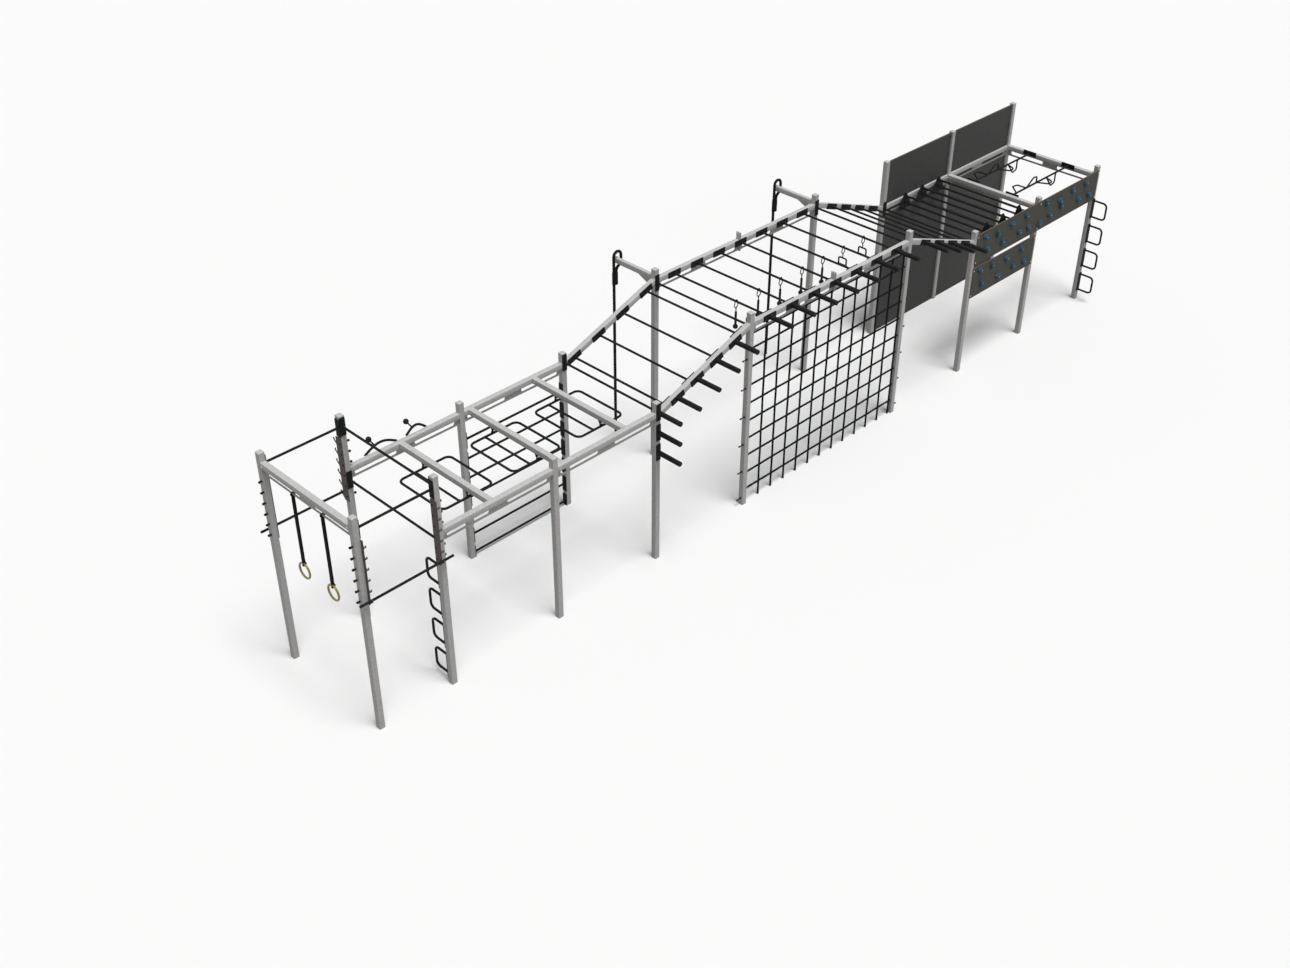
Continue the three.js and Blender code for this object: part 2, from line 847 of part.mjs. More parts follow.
// High frame: each rail in two lengths with flanges bolted together at mid-span
const halfHigh = highPitch / 2 - halfPost - seat - flangeThick;
const highMiddle = highPitch / 2;
function highRail(y) {
  const flange = block(highMiddle - flangeThick - overrun, highMiddle + flangeThick + overrun,
    -halfRail, halfRail, -railDepth, flangeRise);
  return joined([
    slottedRail(halfHigh + overrun).translate([railStart, 0, 0]),
    slottedRail(halfHigh + overrun).translate([highMiddle + flangeThick - overrun, 0, 0]),
    flange,
  ]).translate([0, y, 0]);
}
const highPieces = [highRail(0), highRail(rowPitch)];
for (let k = 0; k < highRungCount; k++) {
  const x = highMiddle + (k - (highRungCount - 1) / 2) * highRungPitch;
  highPieces.push(rungSet(x, -halfRail, 0));
  highPieces.push(pegOn(x, -halfRail, 0));
}
place('frame_high', joined(highPieces), frameGrey, columns[4], 0, highTop);

// Seventh bay: rails with three pairs of tilted side plates, each pair carrying two bars
function pairedBars() {
  const pieces = [
    slottedRail(bayLength).translate([railStart, 0, 0]),
    slottedRail(bayLength).translate([railStart, rowPitch, 0]),
  ];
  for (let k = 0; k < pairCount; k++) {
    const x = pairFirst + k * pairPitch;
    const pad = (y0, y1) => block(-pairPlateLength / 2, pairPlateLength / 2, y0, y1,
      -pairPlateWidth / 2, pairPlateWidth / 2).rotate([0, pairTurn, 0]).translate([x, 0, -pairDrop]);
    const near = halfRail - overrun;
    const far = rowPitch - halfRail + overrun;
    pieces.push(pad(near, near + pairPlateThick));
    pieces.push(pad(far - pairPlateThick, far));
    [1, -1].forEach((side) => {
      const barX = x + side * pairSpread;
      const barZ = -pairDrop - side * pairTilt;
      pieces.push(rod(point(barX, near, barZ), point(barX, far, barZ), barRadius, pairSides));
    });
  }
  return joined(pieces);
}
place('frame_double', pairedBars(), frameGrey, columns[6], 0, lowTop);

// Last bay: side rails, and the two cross rails with the loop bars between them
place('rail_f7', slottedRail(bayLength), frameGrey, columns[7] + railStart, 0, lowTop);
place('rail_b7', slottedRail(bayLength), frameGrey, columns[7] + railStart, rowPitch, lowTop);

function snakeBar(y) {
  const from = halfRail;
  const to = bayPitch - halfRail;
  const pieces = [];
  [[from - overrun, from + plateThick], [to - plateThick, to + overrun]].forEach(([x0, x1]) => {
    pieces.push(block(x0, x1, y - plateLength / 2, y + plateLength / 2,
      -snakeDrop - plateWidth / 2, -snakeDrop + plateWidth / 2));
  });
  pieces.push(rod(point(from, y, -snakeDrop), point(to, y, -snakeDrop), barRadius, barSides));
  snakeTurns.forEach((turn, k) => {
    const x = bayPitch - halfRail - snakeFirst - k * snakePitch - snakeBase;
    const reach = snakeReach * snakeReachShares[k];
    const loop = bentTube([
      point(x, 0, 0),
      point(x + snakeBase * snakeApexShare, 0, -reach),
      point(x + snakeBase, 0, -reach * snakeFarShare),
      point(x + snakeBase, 0, 0),
    ], snakeLoopRadius, snakeLoopSides, snakeBend, snakeBendSteps);
    pieces.push(loop.rotate([turn, 0, 0]).translate([0, y, -snakeDrop]));
  });
  return joined(pieces);
}
const endRail = crossways(slottedRail(crossLength)).translate([0, railStart, 0]);
place('frame_loops', joined([
  endRail,
  endRail.translate([bayPitch, 0, 0]),
  snakeBar(snakeRowFront),
  snakeBar(snakeRowBack),
]), frameGrey, columns[7], 0, lowTop);

// Salmon-ladder bars, resting in the lowest hooks
const hookY = halfPost + hookReach;
const salmonZ = hookFirst - hookPocket + barRadius + seat;
const salmonBar = rod(point(-salmonOverhang, 0, 0), point(entryPitch + salmonOverhang, 0, 0),
  barRadius, barSides);
place('salmon_bar_front', salmonBar, fittingBlack, 0, -hookY, salmonZ);
place('salmon_bar_back', salmonBar, fittingBlack, 0, rowPitch + hookY, salmonZ);

// Gym rings: strap loop round the end beam's strip, and the ring in the strap's foot.
// Drawn about the middle of the strip, which is the axis that the strap swings on.
const stripHeight = webDepth - slotHeight;
const stripMiddle = endBeamTop - railDepth + stripHeight / 2;
function gymRing() {
  const facet = Math.PI / (2 * strapLoopSteps);
  const inner = (Math.hypot(webThick / 2, stripHeight / 2) + seat) / Math.cos(facet);
  const round = (radius) => new THREE.Shape().absarc(0, 0, radius, 0, 2 * Math.PI, false);
  const half = strapWidth / 2;
  const loop = profilePlate(round(inner + strapThick), -half, half, strapLoopSteps);
  const bore = profilePlate(round(inner), -strapWidth, strapWidth, strapLoopSteps);
  const foot = ringRadius - ringDrop;
  const strap = block(-strapThick, strapThick, -half, half, foot, -inner);
  const ring = new THREE.TorusGeometry(ringRadius, ringTube, ringSides, ringSegments);
  ring.rotateY(Math.PI / 2);
  ring.translate(0, 0, -ringDrop);
  return joined([loop, strap]).subtract(bore).add(solid(ring));
}
[-1, 1].forEach((side, i) => {
  const y = rowPitch / 2 + ringShift + (side * ringSpacing) / 2;
  place(i === 0 ? 'ring_front' : 'ring_back', gymRing(), ringWood, 0, y, stripMiddle);
});

// Hanging grips, drawn about the middle of the rung that they hang on
function gripLink() {
  const inner = (barRadius + seat) / Math.cos(Math.PI / (4 * gripLinkSteps));
  const outer = inner + 2 * gripLinkWire;
  const track = (radius, target) => {
    target.absarc(0, 0, radius, 0, Math.PI, false);
    target.absarc(0, -gripLinkLength, radius, Math.PI, 2 * Math.PI, false);
    target.closePath();
    return target;
  };
  const shape = track(outer, new THREE.Shape());
  shape.holes.push(track(inner, new THREE.Path()));
  return profilePlate(shape, -gripLinkWidth / 2, gripLinkWidth / 2, gripLinkSteps);
}
const linkFoot = -gripLinkLength - barRadius - seat - gripLinkWire;
function ballGrip() {
  const ballZ = -gripDrop + gripBall;
  const sleeveTop = ballZ + gripSleeveLength;
  const ball = new THREE.SphereGeometry(gripBall, gripBallSegments, gripBallRings);
  ball.rotateX(Math.PI / 2);
  ball.translate(0, 0, ballZ);
  return joined([
    gripLink(),
    rod(point(0, 0, sleeveTop - overrun), point(0, 0, linkFoot), gripNeck, gripSides),
    rod(point(0, 0, ballZ), point(0, 0, sleeveTop), gripSleeve, gripSides, gripNeck),
    solid(ball),
  ]);
}
function stirrupHandle() {
  const low = -stirrupDrop + stirrupGrip;
  const top = low + stirrupHeight;
  const half = stirrupWidth / 2;
  const bow = bentTube([
    point(0, -half, low),
    point(0, -half, top),
    point(0, half, top),
    point(0, half, low),
  ], stirrupTube, gripSides, stirrupBend, stirrupBendSteps);
  return joined([
    gripLink(),
    rod(point(0, 0, top), point(0, 0, linkFoot), gripNeck, gripSides),
    bow,
    rod(point(0, -half - stirrupTube, low), point(0, half + stirrupTube, low), stirrupGrip, gripSides),
  ]);
}
for (let k = 0; k < highRungCount; k++) {
  const x = columns[4] + highMiddle + (k - (highRungCount - 1) / 2) * highRungPitch;
  const grip = k < gripBallCount ? ballGrip() : stirrupHandle();
  place(`grip_${k + 1}`, grip, fittingBlack, x, gripRow, highTop - halfRail);
}

// Cargo net between the posts of the high bay
function cargoNet() {
  const width = between(highPitch);
  const head = highTop - railDepth - seat - netRope;
  const pitchX = (width - 2 * netSide) / (netColumns - 1);
  const pitchZ = (head - netHeadGap - netFirstRow) / (netRows - 1);
  const pieces = [];
  for (let k = 0; k < netColumns; k++) {
    const x = netSide + k * pitchX;
    pieces.push(block(x - netRope, x + netRope, -netRope, netRope, netFoot, head + netRope));
  }
  for (let k = 0; k < netRows; k++) {
    const z = netFirstRow + k * pitchZ;
    pieces.push(block(0, width, -netRope, netRope, z - netRope, z + netRope));
  }
  pieces.push(block(0, width, -netRope, netRope, head - netRope, head + netRope));
  return joined(pieces);
}
place('cargo_net', cargoNet(), ropeBlack, columns[4] + railStart, 0, 0);

// Climbing ropes, drawn about the arm's centre line with heights from the ground: up from the
// foot in front of the arm, over it as an open eye, down behind it and back beside itself
const ropeRoute = [
  [-72, 40], [-72, 172], [-72, 304], [-72, 436], [-72, 568], [-72, 700], [-72, 832],
  [-72, 964], [-72, 1096], [-72, 1228], [-72, 1360], [-72, 1492], [-72, 1624], [-72, 1756],
  [-72, 1888], [-72, 2020], [-72, 2152], [-72, 2284], [-72, 2416], [-72, 2548], [-72, 2680],
  [-72, 2812], [-72, 2944], [-72, 3078], [-62, 3114], [-36, 3140], [0, 3150], [36, 3140],
  [62, 3114], [72, 3078], [72, 2995], [60, 2955], [34, 2926], [2, 2905], [-20, 2872],
  [-26, 2830], [-26, 2730], [-26, 2630],
];
const rope = tubeAlong(ropeRoute.map(([x, z]) => point(x, 0, z)), ropeRadius, ropeSides);

// Binding round the two strands below the eye, an outline of straight sides and round ends
function binding() {
  const inner = (ropeRadius + seat) / Math.cos(Math.PI / (4 * bindingArcSteps));
  const sleeve = (radius, low, high) => {
    const shape = new THREE.Shape();
    shape.absarc(-ropeEyeHalf, 0, radius, Math.PI / 2, 1.5 * Math.PI, false);
    shape.absarc(strandPitch - ropeEyeHalf, 0, radius, -Math.PI / 2, Math.PI / 2, false);
    shape.closePath();
    const depth = high - low;
    const options = { depth, bevelEnabled: false, curveSegments: bindingArcSteps };
    const geometry = new THREE.ExtrudeGeometry(shape, options);
    geometry.translate(0, 0, low);
    return solid(geometry);
  };
  const bore = sleeve(inner, bindingFoot - overrun, bindingTop + overrun);
  return sleeve(inner + bindingThick, bindingFoot, bindingTop).subtract(bore);
}
[4, 5].forEach((i) => {
  place(`climb_rope_${i - 3}`, rope, ropeBlack, columns[i], rowPitch + ropeReach, 0);
  place(`rope_binding_${i - 3}`, binding(), fittingBlack, columns[i], rowPitch + ropeReach, 0);
});

// Climbing boards with staggered holds, on the front faces of the posts
function board(length, topCount, lowCount) {
  const back = -halfPost - seat;
  const front = back - boardThick;
  const pieces = [block(0, length, front, back, -boardHeight, 0)];
  const hold = (x, z) => rod(point(x, front + overrun, z), point(x, front - holdDepth, z),
    holdFoot, holdSides, holdFace);
  for (let k = 0; k < topCount; k++) {
    pieces.push(hold(holdFirst + k * holdPitch, -boardHeight * (1 - holdUpperShare)));
  }
  for (let k = 0; k < lowCount; k++) {
    const x = holdFirst + holdStagger + k * holdPitch;
    pieces.push(hold(x, -boardHeight * (1 - holdLowerShare)));
  }
  return joined(pieces);
}
const boardTop = shortPost - boardTopDrop;
const boardLow = boardTop - boardHeight - boardGap;
place('board_upper', board(2 * bayPitch - 2 * boardInset, holdTopCount, holdLowCount),
  boardBrown, columns[6] + boardInset, 0, boardTop);
place('board_lower', board(bayPitch - 2 * boardInset, holdShortCount, holdShortCount),
  boardBrown, columns[6] + boardInset, 0, boardLow);

// Wall panels between the last three back posts, above and below the rail
function wallPanel(z0, z1) {
  return block(0, bayLength, -wallThick / 2, wallThick / 2, z0, z1);
}
[6, 7].forEach((i) => {
  const x = columns[i] + railStart;
  const upper = wallPanel(lowTop + seat, tallPost - wallTopDrop);
  place(`wall_upper_${i - 5}`, upper, wallGrey, x, rowPitch);
  place(`wall_lower_${i - 5}`, wallPanel(0, lowTop - railDepth - seat), wallGrey, x, rowPitch);
});

export default group;
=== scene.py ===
# Ninja obstacle frame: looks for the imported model. Metres, +Z up, X along the course,
# Y from the front row of posts to the back row.
import math

import bmesh
import bpy
from mathutils import Matrix, Quaternion, Vector


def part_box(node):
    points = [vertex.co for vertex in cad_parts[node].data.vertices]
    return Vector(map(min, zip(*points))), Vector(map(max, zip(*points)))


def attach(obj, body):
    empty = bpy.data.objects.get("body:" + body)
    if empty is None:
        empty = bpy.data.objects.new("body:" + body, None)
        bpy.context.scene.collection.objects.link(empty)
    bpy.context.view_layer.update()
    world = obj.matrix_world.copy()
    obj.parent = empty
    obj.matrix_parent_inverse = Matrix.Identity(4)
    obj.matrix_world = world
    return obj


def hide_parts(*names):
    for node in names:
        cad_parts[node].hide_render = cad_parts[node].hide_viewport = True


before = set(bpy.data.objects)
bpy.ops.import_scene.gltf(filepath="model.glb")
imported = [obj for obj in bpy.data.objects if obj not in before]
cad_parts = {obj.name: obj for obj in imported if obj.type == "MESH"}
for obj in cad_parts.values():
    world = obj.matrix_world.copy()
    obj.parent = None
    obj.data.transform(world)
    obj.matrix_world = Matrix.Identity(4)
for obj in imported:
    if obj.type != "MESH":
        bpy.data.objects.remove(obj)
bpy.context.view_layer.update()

# Course layout and heights
ENTRY_PITCH = 1.12
BAY_PITCH = 1.8
HIGH_PITCH = 3.52
ROW_PITCH = 1.8
PITCHES = [ENTRY_PITCH] + 3 * [BAY_PITCH] + [HIGH_PITCH] + 3 * [BAY_PITCH]
COLUMNS = [sum(PITCHES[:i]) for i in range(len(PITCHES) + 1)]
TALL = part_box("post_f0")[1].z
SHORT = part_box("post_f2")[1].z
RAIL_DROP = 0.155
LOW_TOP = SHORT - RAIL_DROP
HIGH_TOP = TALL - RAIL_DROP
END_TOP = TALL - 0.13
FRONT_TALL = [0, 1, 4, 5]
BACK_SHORT = [2, 3]

# Square tubes, rails and plates
HALF = 0.04
TUBE_CORNER = 0.005
CAP_LIP = 0.002
CAP_BAND = 0.008
CAP_RISE = 0.014
WEB_DEPTH = 0.105
WEB_THICK = 0.008
SLOT_HEIGHT = 0.074
SLOT_END = 0.07
SLOT_WEB = 0.29
SLOT_CORNER = 0.025
RAIL_DEPTH = 2 * HALF + WEB_DEPTH
FLANGE = 0.01
FLANGE_GAP = 0.0002
FLANGE_RISE = 0.11
PLATE_LENGTH = 0.25
PLATE = 0.01
SIDE_PLATE = 0.092
SEAT = 0.0003
LAP = 0.001
EDGE_ROUND = 0.0012

# A plate on a post starts a little inside it and ends at its own face
ROOT = HALF - LAP
FACE = HALF + PLATE

# Bars, pegs, bolts and welds
BAR = 0.0165
BAR_SIDES = 20
PEG = 0.035
PEG_LENGTH = 0.4
BOLT = 0.009
BOLT_INSET = 0.028
WASHER = 0.0135
WELD = 0.0035


def vec(x, y, z):
    return Vector((x, y, z))


ALONG = vec(1, 0, 0)
ACROSS = vec(0, 1, 0)
UP = vec(0, 0, 1)


class Form:
    """Closed patches of faces that make one piece, each face with its finish."""

    def __init__(self, verts=(), faces=()):
        self.verts = list(verts)
        self.faces = list(faces)

    def add(self, *others):
        for other in others:
            base = len(self.verts)
            self.verts += [v.copy() for v in other.verts]
            self.faces += [([base + i for i in face], finish) for face, finish in other.faces]
        return self

    def put(self, matrix):
        return Form([matrix @ v for v in self.verts], self.faces)

    def move(self, x=0.0, y=0.0, z=0.0):
        return self.put(Matrix.Translation((x, y, z)))

    def turn(self, degrees, axis="Z"):
        return self.put(Matrix.Rotation(math.radians(degrees), 4, axis))

    def mirror(self, axis):
        scale = [-1 if name == axis else 1 for name in "XYZ"]
        return self.put(Matrix.Diagonal((*scale, 1)))


BLACK = "black_steel"
PAINT = "frame_paint"


# Shapes: every solid is a loft through rings of points
def loft(rings, finish, closed=False):
    count = len(rings[0])
    total = count * len(rings)
    faces = []
    for a in range(0, total if closed else total - count, count):
        b = (a + count) % total
        faces += [[a + j, a + (j + 1) % count, b + (j + 1) % count, b + j] for j in range(count)]
    if not closed:
        faces += [list(range(count))[::-1], list(range(total - count, total))]
    return Form([v for ring in rings for v in ring], [(face, finish) for face in faces])


def polar(radius, degrees):
    angle = math.radians(degrees)
    return radius * math.cos(angle), radius * math.sin(angle)


def arc(x, y, radius, start, end, steps):
    """Points round a centre from one angle to another, in degrees."""
    points = [polar(radius, start + (end - start) * s / steps) for s in range(steps + 1)]
    return [(x + p, y + q) for p, q in points]


def circle(radius, sides):
    return [polar(radius, 360 * i / sides) for i in range(sides)]


def rounded(width, depth, corner, steps=3):
    """A rectangle's outline with round corners, width and depth from side to side."""
    x = width / 2 - corner
    y = depth / 2 - corner
    outline = []
    for quarter, (cx, cy) in enumerate(((x, y), (-x, y), (-x, -y), (x, -y))):
        outline += arc(cx, cy, corner, 90 * quarter, 90 * quarter + 90, steps)
    return outline


def upright(points):
    return [vec(x, 0, z) for x, z in points]


def sections(points, closed=False):
    """A centre and two cross directions at each point of a path, turning as little as can be."""
    count = len(points)
    tangents = []
    for i in range(count):
        back = points[i - 1] if closed or i else points[i]
        ahead = points[(i + 1) % count] if closed or i < count - 1 else points[i]
        tangents.append((ahead - back).normalized())
    side = tangents[0].orthogonal().normalized()
    found = []
    for i in range(count):
        if i:
            side = tangents[i - 1].rotation_difference(tangents[i]) @ side
        found.append((points[i], side, tangents[i].cross(side)))
    return found


def tube(points, radius, finish=BLACK, sides=BAR_SIDES, closed=False):
    outline = circle(radius, sides)
    rings = [[c + u * p + v * q for p, q in outline] for c, u, v in sections(points, closed)]
    return loft(rings, finish, closed)


def turned(start, end, profile, finish=BLACK, sides=BAR_SIDES):
    """A turned shape from start to end: profile holds shares of the way and radii."""
    way = end - start
    u = way.orthogonal().normalized()
    v = way.normalized().cross(u)
    rings = [[start + way * share + radius * (u * p + v * q) for p, q in circle(1, sides)]
             for share, radius in profile]
    return loft(rings, finish)


def rod(start, end, radius, finish=BLACK, sides=BAR_SIDES):
    return turned(start, end, [(0, radius), (1, radius)], finish, sides)


def ball(centre, radius, finish=BLACK, sides=24, rows=14):
    shares = [0.002 + 0.996 * (1 - math.cos(math.pi * i / rows)) / 2 for i in range(rows + 1)]
    profile = [(s, 2 * radius * math.sqrt(s * (1 - s))) for s in shares]
    return turned(centre - UP * radius, centre + UP * radius, profile, finish, sides)


def block(x0, x1, y0, y1, z0, z1, finish=BLACK):
    ring = [(x0, y0), (x1, y0), (x1, y1), (x0, y1)]
    return loft([[vec(x, y, z) for x, y in ring] for z in (z0, z1)], finish)


def plate(outline, low, high, finish=BLACK):
    """A flat plate with its outline in X and Z and its faces at two places in Y."""
    return loft([[vec(x, y, z) for x, z in outline] for y in (low, high)], finish)


def bored_plate(polygon, hub, bore, low, high, finish=BLACK):
    """A plate round a bored hole at X and Z 0, its edge the polygon or hub, the farther out."""
    corners = [math.degrees(math.atan2(z, x)) % 360 for x, z in polygon]
    angles = sorted(corners + [11.25 * i for i in range(32)])
    outer = []
    for angle in angles:
        px, pz = polar(1, angle)
        reach = hub
        for (ax, az), (bx, bz) in zip(polygon, polygon[1:] + polygon[:1]):
            ex, ez = bx - ax, bz - az
            cross = px * ez - pz * ex
            if abs(cross) > 1e-12:
                distance = (ax * ez - az * ex) / cross
                share = (ax * pz - az * px) / cross
                if distance > reach and -1e-9 <= share <= 1 + 1e-9:
                    reach = distance
        outer.append(polar(reach, angle))
    inner = [polar(bore, angle) for angle in angles]
    rings = [[vec(x, y, z) for x, z in outline]
             for outline, y in ((outer, low), (outer, high), (inner, high), (inner, low))]
    return loft(rings, finish, closed=True)


def bend_path(corners, radius, steps=8, closed=False):
    """The path through given corners with each corner rounded."""
    points = [] if closed else [corners[0]]
    count = len(corners)
    for i in range(0 if closed else 1, count if closed else count - 1):
        corner = corners[i]
        back = (corners[i - 1] - corner).normalized()
        ahead = (corners[(i + 1) % count] - corner).normalized()
        half = back.angle(ahead) / 2
        centre = corner + (back + ahead).normalized() * radius / math.sin(half)
        start = corner + back * radius / math.tan(half) - centre
        end = corner + ahead * radius / math.tan(half) - centre
        turn = start.rotation_difference(end)
        points += [centre + Quaternion().slerp(turn, s / steps) @ start for s in range(steps + 1)]
    if not closed:
        points.append(corners[-1])
    return points


def ring_path(centre, u, v, radius, steps):
    return [centre + u * p + v * q for p, q in circle(radius, steps)]


def weld(centre, direction, radius):
    """The bead round a bar where it meets a plate, with its laid ripples."""
    u = direction.orthogonal().normalized()
    v = direction.normalized().cross(u)
    path = ring_path(centre, u, v, radius + WELD * 0.3, 28)
    rings = []
    for i, (c, a, b) in enumerate(sections(path, closed=True)):
        size = WELD * (1 + 0.12 * (i % 2))
        rings.append([c + size * (a * p + b * q) for p, q in circle(1, 6)])
    return loft(rings, BLACK, closed=True)


def bolt(at, direction, finish="zinc"):
    """A washer and a domed hexagon head, standing on a face."""
    n = direction.normalized()
    return Form().add(
        turned(at - n * 0.0004, at + n * 0.0018, [(0, WASHER), (1, WASHER)], finish, 20),
        turned(at, at + n * 0.0082, [(0, BOLT), (0.75, BOLT), (1, BOLT * 0.8)], finish, 6),
        turned(at + n * 0.008, at + n * 0.01, [(0, BOLT * 0.72), (1, BOLT * 0.45)], finish, 16))


# Materials
FINISHES = {}


def wire(tree, target, inputs):
    """Links each input to a socket, or sets it to a value."""
    for name, value in inputs.items():
        if isinstance(value, bpy.types.NodeSocket):
            tree.links.new(value, target.inputs[name])
        else:
            target.inputs[name].default_value = value


def node(tree, kind, inputs, output=0, **settings):
    """One output of a new node, with its settings and inputs in place."""
    made = tree.nodes.new(kind)
    for key, value in settings.items():
        setattr(made, key, value)
    wire(tree, made, inputs)
    return made.outputs[output]


class Look:
    """A Principled material whose texture runs in the piece's own metres."""

    def __init__(self, name, roughness, metallic=0.0, sheen=0.0, coat=0.0, specular=0.5):
        FINISHES[name] = bpy.data.materials.new(name)
        FINISHES[name].use_nodes = True
        self.tree = FINISHES[name].node_tree
        self.shade({"Roughness": roughness, "Metallic": metallic, "Sheen Weight": sheen,
                    "Coat Weight": coat, "Specular IOR Level": specular})
        self.place = node(self.tree, "ShaderNodeTexCoord", {}, "Object")

    def shade(self, inputs):
        wire(self.tree, self.tree.nodes["Principled BSDF"], inputs)

    def noise(self, scale, detail=3.0, rough=0.5, stretch=(1, 1, 1)):
        place = node(self.tree, "ShaderNodeMapping", {"Scale": stretch, "Vector": self.place})
        return node(self.tree, "ShaderNodeTexNoise",
                    {"Scale": scale, "Detail": detail, "Roughness": rough, "Vector": place})

    def waves(self, scale, direction, distortion=0.0):
        inputs = {"Scale": scale, "Distortion": distortion, "Vector": self.place}
        return node(self.tree, "ShaderNodeTexWave", inputs, "Fac", bands_direction=direction)

    def ramp(self, source, stops):
        made = self.tree.nodes.new("ShaderNodeValToRGB")
        wire(self.tree, made, {"Fac": source})
        elements = made.color_ramp.elements
        while len(elements) < len(stops):
            elements.new(0.5)
        for element, (position, colour) in zip(elements, stops):
            element.position = position
            element.color = (*colour, 1.0)
        return made.outputs["Color"]

    def tones(self, source, dark, light, low=0.3):
        return self.ramp(source, [(low, dark), (1 - low, light)])

    def blend(self, first, second, share):
        """Lays the second colour over the first, as far as the share says."""
        first, second = ((*c, 1.0) if isinstance(c, tuple) else c for c in (first, second))
        return node(self.tree, "ShaderNodeMix", {"Factor": share, 6: first, 7: second}, 2, data_type="RGBA")

    def mask(self, source, low, high):
        return node(self.tree, "ShaderNodeMapRange", {"Value": source, "From Min": low, "From Max": high})

    def colour(self, source):
        self.shade({"Base Color": source})

    def roughness(self, source, low, high):
        inputs = {"Value": source, "To Min": low, "To Max": high}
        self.shade({"Roughness": node(self.tree, "ShaderNodeMapRange", inputs)})

    def bump(self, *heights):
        """Each height is a source, a strength and a depth in metres, laid one on the other."""
        normal = {}
        for source, strength, depth in heights:
            inputs = {"Height": source, "Strength": strength, "Distance": depth, **normal}
            normal = {"Normal": node(self.tree, "ShaderNodeBump", inputs)}
        self.shade(normal)


def frame_paint(name, light, dark, dust):
    """Satin powder coat with cloudy tone, fine orange peel and rain-washed streaks."""
    look = Look(name, 0.5, specular=0.4)
    cloud = look.noise(38, 6, 0.72)
    tone = look.tones(cloud, dark, light, low=0.34)
    speckle = look.mask(look.noise(240, 2, 0.6), 0.52, 0.7)
    streak = look.mask(look.noise(34, 4, 0.65, (1, 1, 0.06)), 0.56, 0.78)
    look.colour(look.blend(look.blend(tone, dust, streak), tuple(0.78 * c for c in dark), speckle))
    look.roughness(cloud, 0.42, 0.62)
    look.bump((look.noise(900, 2), 0.25, 0.0003), (look.noise(60, 3), 0.12, 0.001))


def rope_fibre(name, painted_highlight):
    """Dark laid rope: short fibres on the strands, a green cast and paler flecks that are painted highlight
    on the strands.
    """
    look = Look(name, 0.9, sheen=0.03, specular=0.15)
    fibre = look.noise(420, 4, 0.7, (1, 1, 0.35))
    # The palest stop is painted highlight: light flecks that stand for glints on the laid strands.
    look.colour(look.ramp(fibre, [(0.3, (0.002, 0.004, 0.003)), (0.58, (0.006, 0.01, 0.008)),
                                  (0.78, painted_highlight)]))
    look.roughness(fibre, 0.75, 0.95)
    look.bump((fibre, 0.6, 0.0012), (look.noise(1600, 2), 0.3, 0.0004))


def laminate(name, dark, light, speck):
    """High-pressure laminate: a matt speckled face with faint rubbed marks."""
    look = Look(name, 0.68, specular=0.3)
    rubbed = look.mask(look.noise(7, 6, 0.7, (1, 1, 2.5)), 0.55, 0.85)
    look.colour(look.blend(look.tones(look.noise(120, 4, 0.7), dark, light), speck, rubbed))
    look.roughness(look.noise(18, 4), 0.58, 0.8)
    look.bump((look.noise(520, 3), 0.35, 0.0005))


def cut_edge(name, dark, light):
    """Cut edge of a panel, with its pressed layers."""
    look = Look(name, 0.75)
    fibres = look.noise(240, 4, 0.7, (0.4, 3, 3))
    look.colour(look.tones(fibres, dark, light))
    look.bump((fibres, 0.4, 0.0006))


frame_paint(PAINT, (0.62, 0.605, 0.6), (0.45, 0.435, 0.43), (0.42, 0.405, 0.395))
frame_paint("cap_plastic", (0.58, 0.575, 0.55), (0.46, 0.455, 0.43), (0.4, 0.39, 0.36))
# The last colour of each rope is its painted highlight.
rope_fibre("rope_fibre", (0.095, 0.11, 0.095))
rope_fibre("net_fibre", (0.02, 0.026, 0.022))
laminate("board_face", (0.042, 0.041, 0.035), (0.066, 0.064, 0.056), (0.076, 0.074, 0.064))
laminate("wall_face", (0.041, 0.04, 0.039), (0.062, 0.06, 0.059), (0.073, 0.07, 0.068))
cut_edge("board_edge", (0.1, 0.06, 0.035), (0.2, 0.125, 0.075))
cut_edge("wall_edge", (0.1, 0.08, 0.06), (0.21, 0.175, 0.135))

# Black powder coat with a fine texture, worn grey here and there
look = Look(BLACK, 0.7, specular=0.12)
tone = look.tones(look.noise(14, 4), (0.007, 0.0075, 0.0075), (0.015, 0.016, 0.016))
look.colour(look.blend(tone, (0.045, 0.045, 0.044), look.mask(look.noise(70, 6, 0.75), 0.68, 0.84)))
look.roughness(look.noise(40, 4), 0.55, 0.8)
look.bump((look.noise(1400, 2), 0.35, 0.0003), (look.noise(90, 3), 0.1, 0.0006))

# Bare hot-rolled plate with its dark, slightly warm scale and rubbed patches
look = Look("hook_steel", 0.65, specular=0.3)
scale = look.noise(26, 5, 0.7)
tone = look.tones(scale, (0.07, 0.059, 0.055), (0.135, 0.117, 0.111))
look.colour(look.blend(tone, (0.045, 0.04, 0.037), look.mask(look.noise(120, 4, 0.7), 0.6, 0.8)))
look.roughness(scale, 0.5, 0.8)
look.bump((look.noise(600, 3), 0.3, 0.0003), (scale, 0.15, 0.0008))

# Zinc-plated fasteners with a cloudy spangle
look = Look("zinc", 0.35, metallic=0.85)
look.colour(look.tones(look.noise(180, 4), (0.34, 0.34, 0.35), (0.62, 0.62, 0.61)))
look.roughness(look.noise(120, 3), 0.25, 0.5)
look.bump((look.noise(700, 2), 0.2, 0.0002))

# Woven black strap with its crosswise ribs
look = Look("webbing", 0.85, sheen=0.04, specular=0.2)
ribs = look.waves(110, "Z")
look.colour(look.blend((0.003, 0.003, 0.003), (0.012, 0.012, 0.013), look.mask(ribs, 0.2, 1.0)))
look.bump((ribs, 0.5, 0.0006), (look.waves(160, "Y"), 0.35, 0.0004), (look.noise(900, 3), 0.3, 0.0003))

